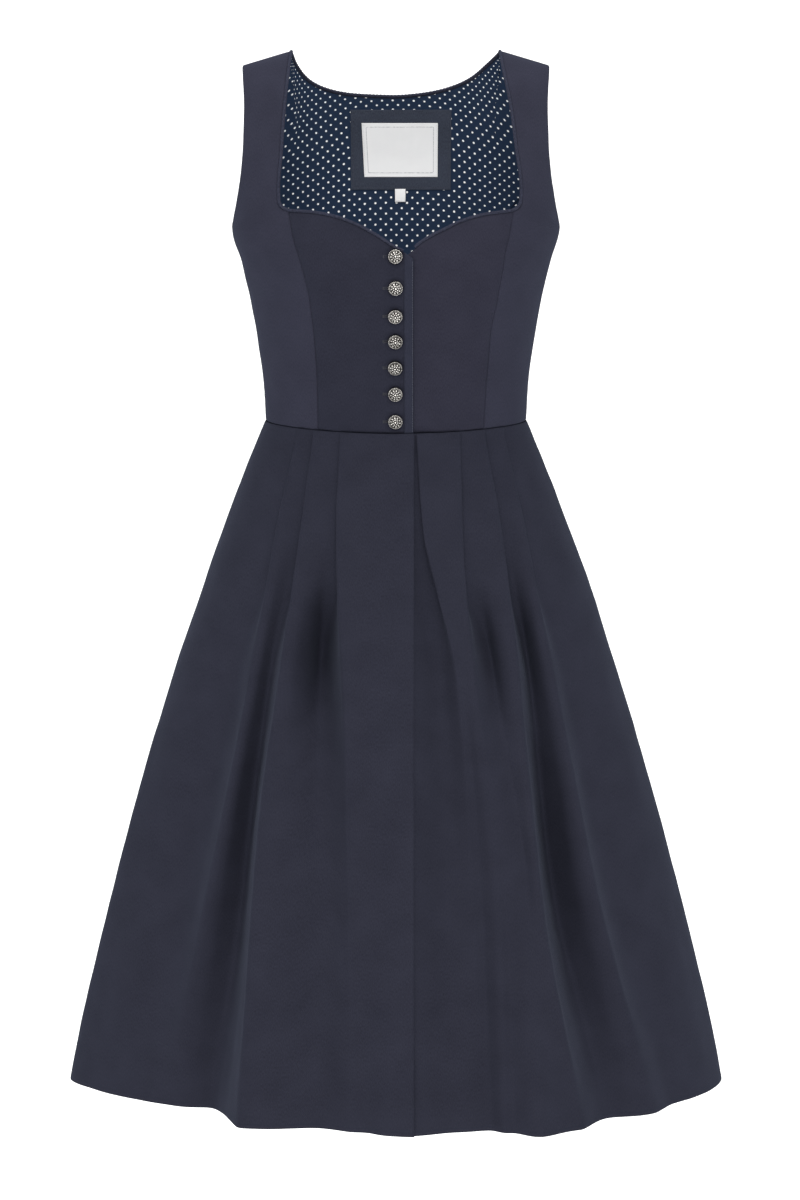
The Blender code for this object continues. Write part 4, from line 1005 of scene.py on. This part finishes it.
HOLE_START, HOLE_END, HOLE_WIDTH = -11.6, 2.5, 0.8
ALONG_X, ALONG_Z = (1, 0, 0), (0, 0, 1)
hole_stitches = []
for height in BUTTON_HEIGHTS:
    outline = [(x, height + s * HOLE_WIDTH, ALONG_Z) for s in (-1, 1)
               for x in np.arange(HOLE_START, HOLE_END, 0.36)]
    outline += [(HOLE_START - 0.5, height + dz, ALONG_X) for dz in np.arange(-1.2, 1.21, 0.34)]
    for x, z, direction in outline:
        point, normal, grid = on_form(x, z)
        hole_stitches.append((point + normal * (0.12 - button_pull(grid)), direction, normal))
hole_points = thread_points("buttonhole_points", *zip(*hole_stitches))
# Near-black buttonhole thread: real stitching, with painted shade of the slits and round each button in
# its dark colour.
dark_thread = sewing_thread("buttonhole_thread", (0.010, 0.011, 0.020))
grow("buttonhole_stitches", hole_points, stitches, "dark_cord", Stitch_Length=0.0017,
     Thread_Radius=0.00021, Seed=17, Thread=dark_thread)


# The skirt. Three panels hang from the waist seam, pressed into knife pleats that open into soft
# flutes towards the hem. The right front laps over the left one at the centre, in line with the
# closing, and an inverted pleat lies just beside it.

FLARE = list(zip(
    (-363, 129.3), (-383, 137.8), (-423, 153.9), (-463, 169.0), (-503, 183.8), (-583, 211.3),
    (-664, 237.0), (-746, 260.8), (-828, 283.2), (-910, 303.7), (-993, 322.3), (-1033, 330.0)))
SKIRT_WIDTH = smooth(*FLARE)
WAIST_WIDTH, HEM_WIDTH = FLARE[1][0], FLARE[1][-1]
WAIST_HEIGHT, HEM_HEIGHT = -363.0, -1033.0
# Waist, hip, thigh, knee and hem. A fold says where its edge is at all five, and how far in its
# ridge and its valley lie and how long its slope runs at the last three.
LEVELS = (-369, -460, -600, -800, -1033)
Fold = namedtuple("Fold", "faces edge ridge valley run pocket crest", defaults=(0, 0))
OUT, IN = 1, -1
RIGHT_FOLDS = [
    Fold(OUT, (53, 57, 50, 46, 42), (0, 5, 16), (28, 18, 28), (24, 30, 36), 36, 1),
    Fold(OUT, (79, 92, 112, 137, 152), (1, 2, 8), (26, 60, 72), (11, 12, 34), 0, 1),
    Fold(OUT, (95, 115, 141, 181, 226), (7, 30, 60), (23, 52, 58), (18, 26, 34), 0, 1),
]
LEFT_FOLDS = [
    Fold(IN, (20, 26, 58, 74, 84), (2, 14, 17), (18, 20, 14), (18, 26, 28)),
    Fold(OUT, (61, 64, 76, 104, 114), (0, 4, 3), (10, 0, -20), (20, 24, 28), 24, 0),
    Fold(OUT, (85, 101, 119, 139, 180), (1, -8, -9), (26, 57, 22), (12, 13, 31), 14, 1),
    Fold(OUT, (104, 125, 153, 192, 254), (4, 9, 8), (19, 30, 26), (18, 22, 30), 0, 1),
]
BACK_FOLDS = []
for k in range(4):
    waist_at, hem_at = mix(30, 99, k / 3), mix(52, 268, k / 3)
    edge = (waist_at, *[mix(waist_at, hem_at, share) for share in (0.12, 0.35, 0.66)], hem_at)
    BACK_FOLDS.append(Fold(OUT, edge, (1, 1, 0), (16, 34, 42 - 10 * k / 3), (15, 24, 34)))
POCKET_HEIGHT, POCKET_LENGTH = -572, 50
# Heights between which the pleats open, and the crests sharpen and soften again
OPENS, SHARPENS, SOFTENS = (420, 610), (560, 660), (880, 1010)
# The distance along a fold's slope and the share of its depth, from its edge to its hollow
EVEN_CREST = [(-0.3, 0.03), (0.0, 0.0), (0.12, 0.14), (0.34, 0.46), (0.56, 0.76), (0.78, 0.94),
              (1.0, 1.0)]
SHARP_CREST = [(-0.2, 0.0), (0.0, 0.0), (0.1, 0.24), (0.26, 0.52), (0.46, 0.78), (0.72, 0.95),
               (1.0, 1.0)]
TUCK, LAYER, FOLD_ROUND, SKIRT_CLOTH, HEM_BAND, UNDER_EDGE = 15.0, 2.0, 1.2, 1.0, 40.0, 2.0
SIDE_SHARES, SIDE_ROOM, SIDE_LAP, SQUEEZE = (0.25, 0.5, 0.73, 0.91), 0.62, 0.02, 0.45


def skirt_axes(height):
    """Half width, front depth, back depth and squareness of the skirt's outline."""
    wide = SKIRT_WIDTH(height)
    spread = (wide - WAIST_WIDTH) / (HEM_WIDTH - WAIST_WIDTH)
    front = mix(float(FRONT_DEPTH(-369)) + 0.3, 222.0, spread)
    back = mix(float(BACK_DEPTH(-365)) + 0.3, 235.0, spread)
    return wide, front, back, mix(2.15, 2.0, spread)


def skirt_base(angle, height):
    """A point of the skirt's smooth outline, in plan."""
    wide, front, back, power = skirt_axes(height)
    reach = rounding(angle, power)
    depth = np.where(np.cos(angle) > 0, front, back)
    return np.stack([wide * np.sin(angle) * reach, -depth * np.cos(angle) * reach], axis=-1)


def skirt_angle(across, height, back=False):
    wide, _, _, power = skirt_axes(height)
    return section_angle(across, wide, power, back)


def pace(angle, height, step=1e-4):
    """Millimetres of outline for each radian at an angle."""
    return np.linalg.norm(skirt_base(angle + step, height) - skirt_base(angle - step, height),
                          axis=-1) / (2 * step)


def by_level(values, height):
    """Values given at the lowest levels, read at any height."""
    return smooth(LEVELS[-len(values):], values)(height)


def pocket_depth(fold, height):
    """How much deeper a fold's hollow is just below its pressed stretch."""
    return fold.pocket * np.exp(-(((height - POCKET_HEIGHT) / POCKET_LENGTH) ** 2))


def fold_stations(fold, slope, height):
    """The fold's points from its edge to its hollow: distance past the edge, and inset.

    Pressed flat the cloth turns back under itself by a tuck and forward again. Lower down
    the same points open into a crest and a hollow.
    """
    ridge_in, run = by_level(fold.ridge, height), by_level(fold.run, height)
    valley_in = by_level(fold.valley, height) + pocket_depth(fold, height)
    opened = ease(-height, *OPENS)
    back_in = TUCK - FOLD_ROUND
    pressed = [
        (-FOLD_ROUND, slope * FOLD_ROUND),
        (0.0, LAYER / 2),
        (-FOLD_ROUND, LAYER + slope * FOLD_ROUND),
        (-back_in, LAYER + slope * back_in),
        (-TUCK, 1.5 * LAYER + slope * TUCK),
        (-back_in, 2 * LAYER + slope * back_in),
        (3.0, 2 * LAYER),
    ]
    sharp = fold.crest * ease(-height, *SHARPENS) * (1 - ease(-height, *SOFTENS))
    stations = []
    for (near, deep), even, steep in zip(pressed, EVEN_CREST, SHARP_CREST):
        along, down = mix(even[0], steep[0], sharp), mix(even[1], steep[1], sharp)
        low = mix(ridge_in, valley_in, down)
        stations.append((mix(near, along * run, opened), mix(deep, low, opened)))
    return stations


def half_ring(folds, start, height, back=False):
    """Angles and insets of one half of the skirt, from its middle out to the side seam."""
    points = [(skirt_angle(across, height, back), inset + 0 * height) for across, inset in start]
    opened = ease(-height, *OPENS)
    turn = -1.0 if back else 1.0
    hole = 0.0
    for fold in folds:
        last_angle, last_deep = points[-1]
        middle = skirt_angle(by_level(fold.edge, height), height, back)
        speed = pace(middle, height)
        wide = np.maximum(np.abs(middle - last_angle) * speed, 8.0)
        slope = np.where(last_deep > 1.0, 2 * LAYER / wide, 0.0) * (1 - opened)
        own = fold_stations(fold, slope if fold.faces == OUT else 0.0, height)
        if fold.faces == IN:
            own = [(-near, deep) for near, deep in reversed(own)]
        own = [(middle + turn * near / speed, deep) for near, deep in own]
        for share, rise in ((0.5, 0.66),) if back else ((0.34, 0.36), (0.7, 0.8)):
            deep = mix(last_deep - hole, own[0][1], rise) + hole * (1 - share) ** 3
            points.append((mix(last_angle, own[0][0], share), deep))
        points.extend(own)
        hole = opened * pocket_depth(fold, height)
    last_angle, last_deep = points[-1]
    side_angle = np.full_like(height, math.pi / 2)
    for share in SIDE_SHARES:
        angle = mix(last_angle, side_angle, share)
        inset = last_deep * np.sqrt(np.abs(np.cos(angle) / np.cos(last_angle)))
        room = SIDE_ROOM * np.abs(skirt_base(angle, height)[..., 1])
        points.append((angle, np.minimum(inset, room)))
    points.append((side_angle - turn * SIDE_LAP / pace(side_angle, height), 0 * height))
    return points


def rounded_line(points, between):
    """A smooth line through points, with this many steps between two of them."""
    ends = np.concatenate([2 * points[:1] - points[1:2], points, 2 * points[-1:] - points[-2:-1]])
    a, b, c, d = ends[:-3], ends[1:-2], ends[2:-1], ends[3:]

    def knot(p, q):
        return np.maximum(np.sqrt(np.linalg.norm(q - p, axis=-1, keepdims=True)), 1e-3)

    t1 = knot(a, b)
    t2 = t1 + knot(b, c)
    t3 = t2 + knot(c, d)
    lines = []
    for share in np.arange(between) / between:
        t = mix(t1, t2, share)
        ab, bc = a + (b - a) * t / t1, mix(b, c, (t - t1) / (t2 - t1))
        cd = mix(c, d, (t - t2) / (t3 - t2))
        abc, bcd = mix(ab, bc, t / t2), mix(bc, cd, (t - t1) / (t3 - t1))
        lines.append(mix(abc, bcd, (t - t1) / (t2 - t1)))
    line = np.stack(lines, axis=1).reshape(-1, *points.shape[1:])
    return np.concatenate([line, points[-1:]])


def relaxed(line, softness):
    """The rows of a skirt with their kinks eased out over this many millimetres."""
    count = line.shape[0]
    inside = np.arange(1, count - 1)
    for j in np.flatnonzero(softness > 0):
        gap = np.maximum(np.linalg.norm(np.diff(line[:, j, :2], axis=0), axis=1), 0.02)
        pull = softness[j] ** 2 / (gap[:-1] + gap[1:])
        spread = np.eye(count)
        spread[inside, inside] += pull / gap[:-1] + pull / gap[1:]
        spread[inside, inside - 1] -= pull / gap[:-1]
        spread[inside, inside + 1] -= pull / gap[1:]
        line[:, j, :2] = np.linalg.solve(spread, line[:, j, :2])
    return line


def hang_skirt(name, ring, between=5, tall=110):
    """A skirt panel from its ring: pleats, hem and soft unevenness."""
    shares = np.concatenate([[0, 0.0006, 0.0014, 0.003], np.linspace(0.007, 0.994, tall),
                             [0.9970, 0.9986, 0.9995, 1.0]])
    level = mix(WAIST_HEIGHT, HEM_HEIGHT, shares)
    stations = ring(level)
    angles = np.stack([angle for angle, _ in stations])
    below_seam = shares * (WAIST_HEIGHT - HEM_HEIGHT)
    squeezed = mix(SQUEEZE, 1.0, ease(below_seam, 0.5, 10.0))
    insets = np.stack([inset + 0 * level for _, inset in stations]) * squeezed
    heights = mix(waist(angles) - SEAM_GAP / 2, HEM_HEIGHT, shares)
    plan = skirt_base(angles, heights)
    plan[..., 1] += insets * np.sign(np.cos(angles))
    line = rounded_line(np.concatenate([plan, heights[..., None]], axis=-1), between)
    softness = 2.6 * ease(-level, OPENS[0], OPENS[1] - 60) + 3.4 * ease(-level, 880, -HEM_HEIGHT)
    line = relaxed(line, softness)
    normal = unit(np.cross(np.gradient(line, axis=0), np.gradient(line, axis=1)))
    normal *= np.sign(np.sum(normal[..., :2] * line[..., :2]))
    below = -line[..., 2]
    sway = 1.5 * rumple(line, 95, 21, (1, 1, 6)) + 0.6 * rumple(line, 38, 22, (1, 1, 5))
    soft = 0.25 * rumple(line, 30, 23)
    middle = line + normal * (sway * ease(below, 370, 520) + soft * ease(below, 364, 380))[..., None]
    down, (_, edge) = run_lengths(middle, 1), from_edges(middle)
    half = SKIRT_CLOTH / 2 * (1 - 0.5 * np.exp(-((edge / 0.8) ** 2)))[..., None]
    hem_fold = 0.5 * ease(down - down[:, -1:], -HEM_BAND - 1.0, -HEM_BAND + 0.5)[..., None]
    outer, inner = middle + normal * half, middle - normal * (half + hem_fold * half * 2)
    cut_of(shell(name + "_cloth", outer, inner, skirt_cloth), name, middle)


def fall(height):
    """0 at the pressed stretch and 1 at the hem."""
    return ease(-height, 560, -HEM_HEIGHT)


def front_right_ring(height):
    start = [(-CLOSING_ACROSS, 0.0), (-4.0, 2.0 * fall(height)), (14.0, 6.0 * fall(height))]
    return [(-angle, inset) for angle, inset in half_ring(RIGHT_FOLDS, start, height)]


def front_left_ring(height):
    start = [(UNDER_EDGE, LAYER + 2.2 * fall(height)),
             (CLOSING_ACROSS - 3, LAYER + 0.2 + 0.5 * fall(height))]
    return half_ring(LEFT_FOLDS, start, height)


def back_ring(height):
    half = half_ring(BACK_FOLDS, [(0.0, 0.0), (16.0, 0.0)], height, back=True)
    return half[::-1] + [(2 * math.pi - angle, inset) for angle, inset in half[1:]]


skirt_cloth = twill_cloth("skirt_navy", (0.0206, 0.0216, 0.0323))
hang_skirt("skirt_front_right", front_right_ring)
hang_skirt("skirt_front_left", front_left_ring)
hang_skirt("skirt_back", back_ring, between=4, tall=90)
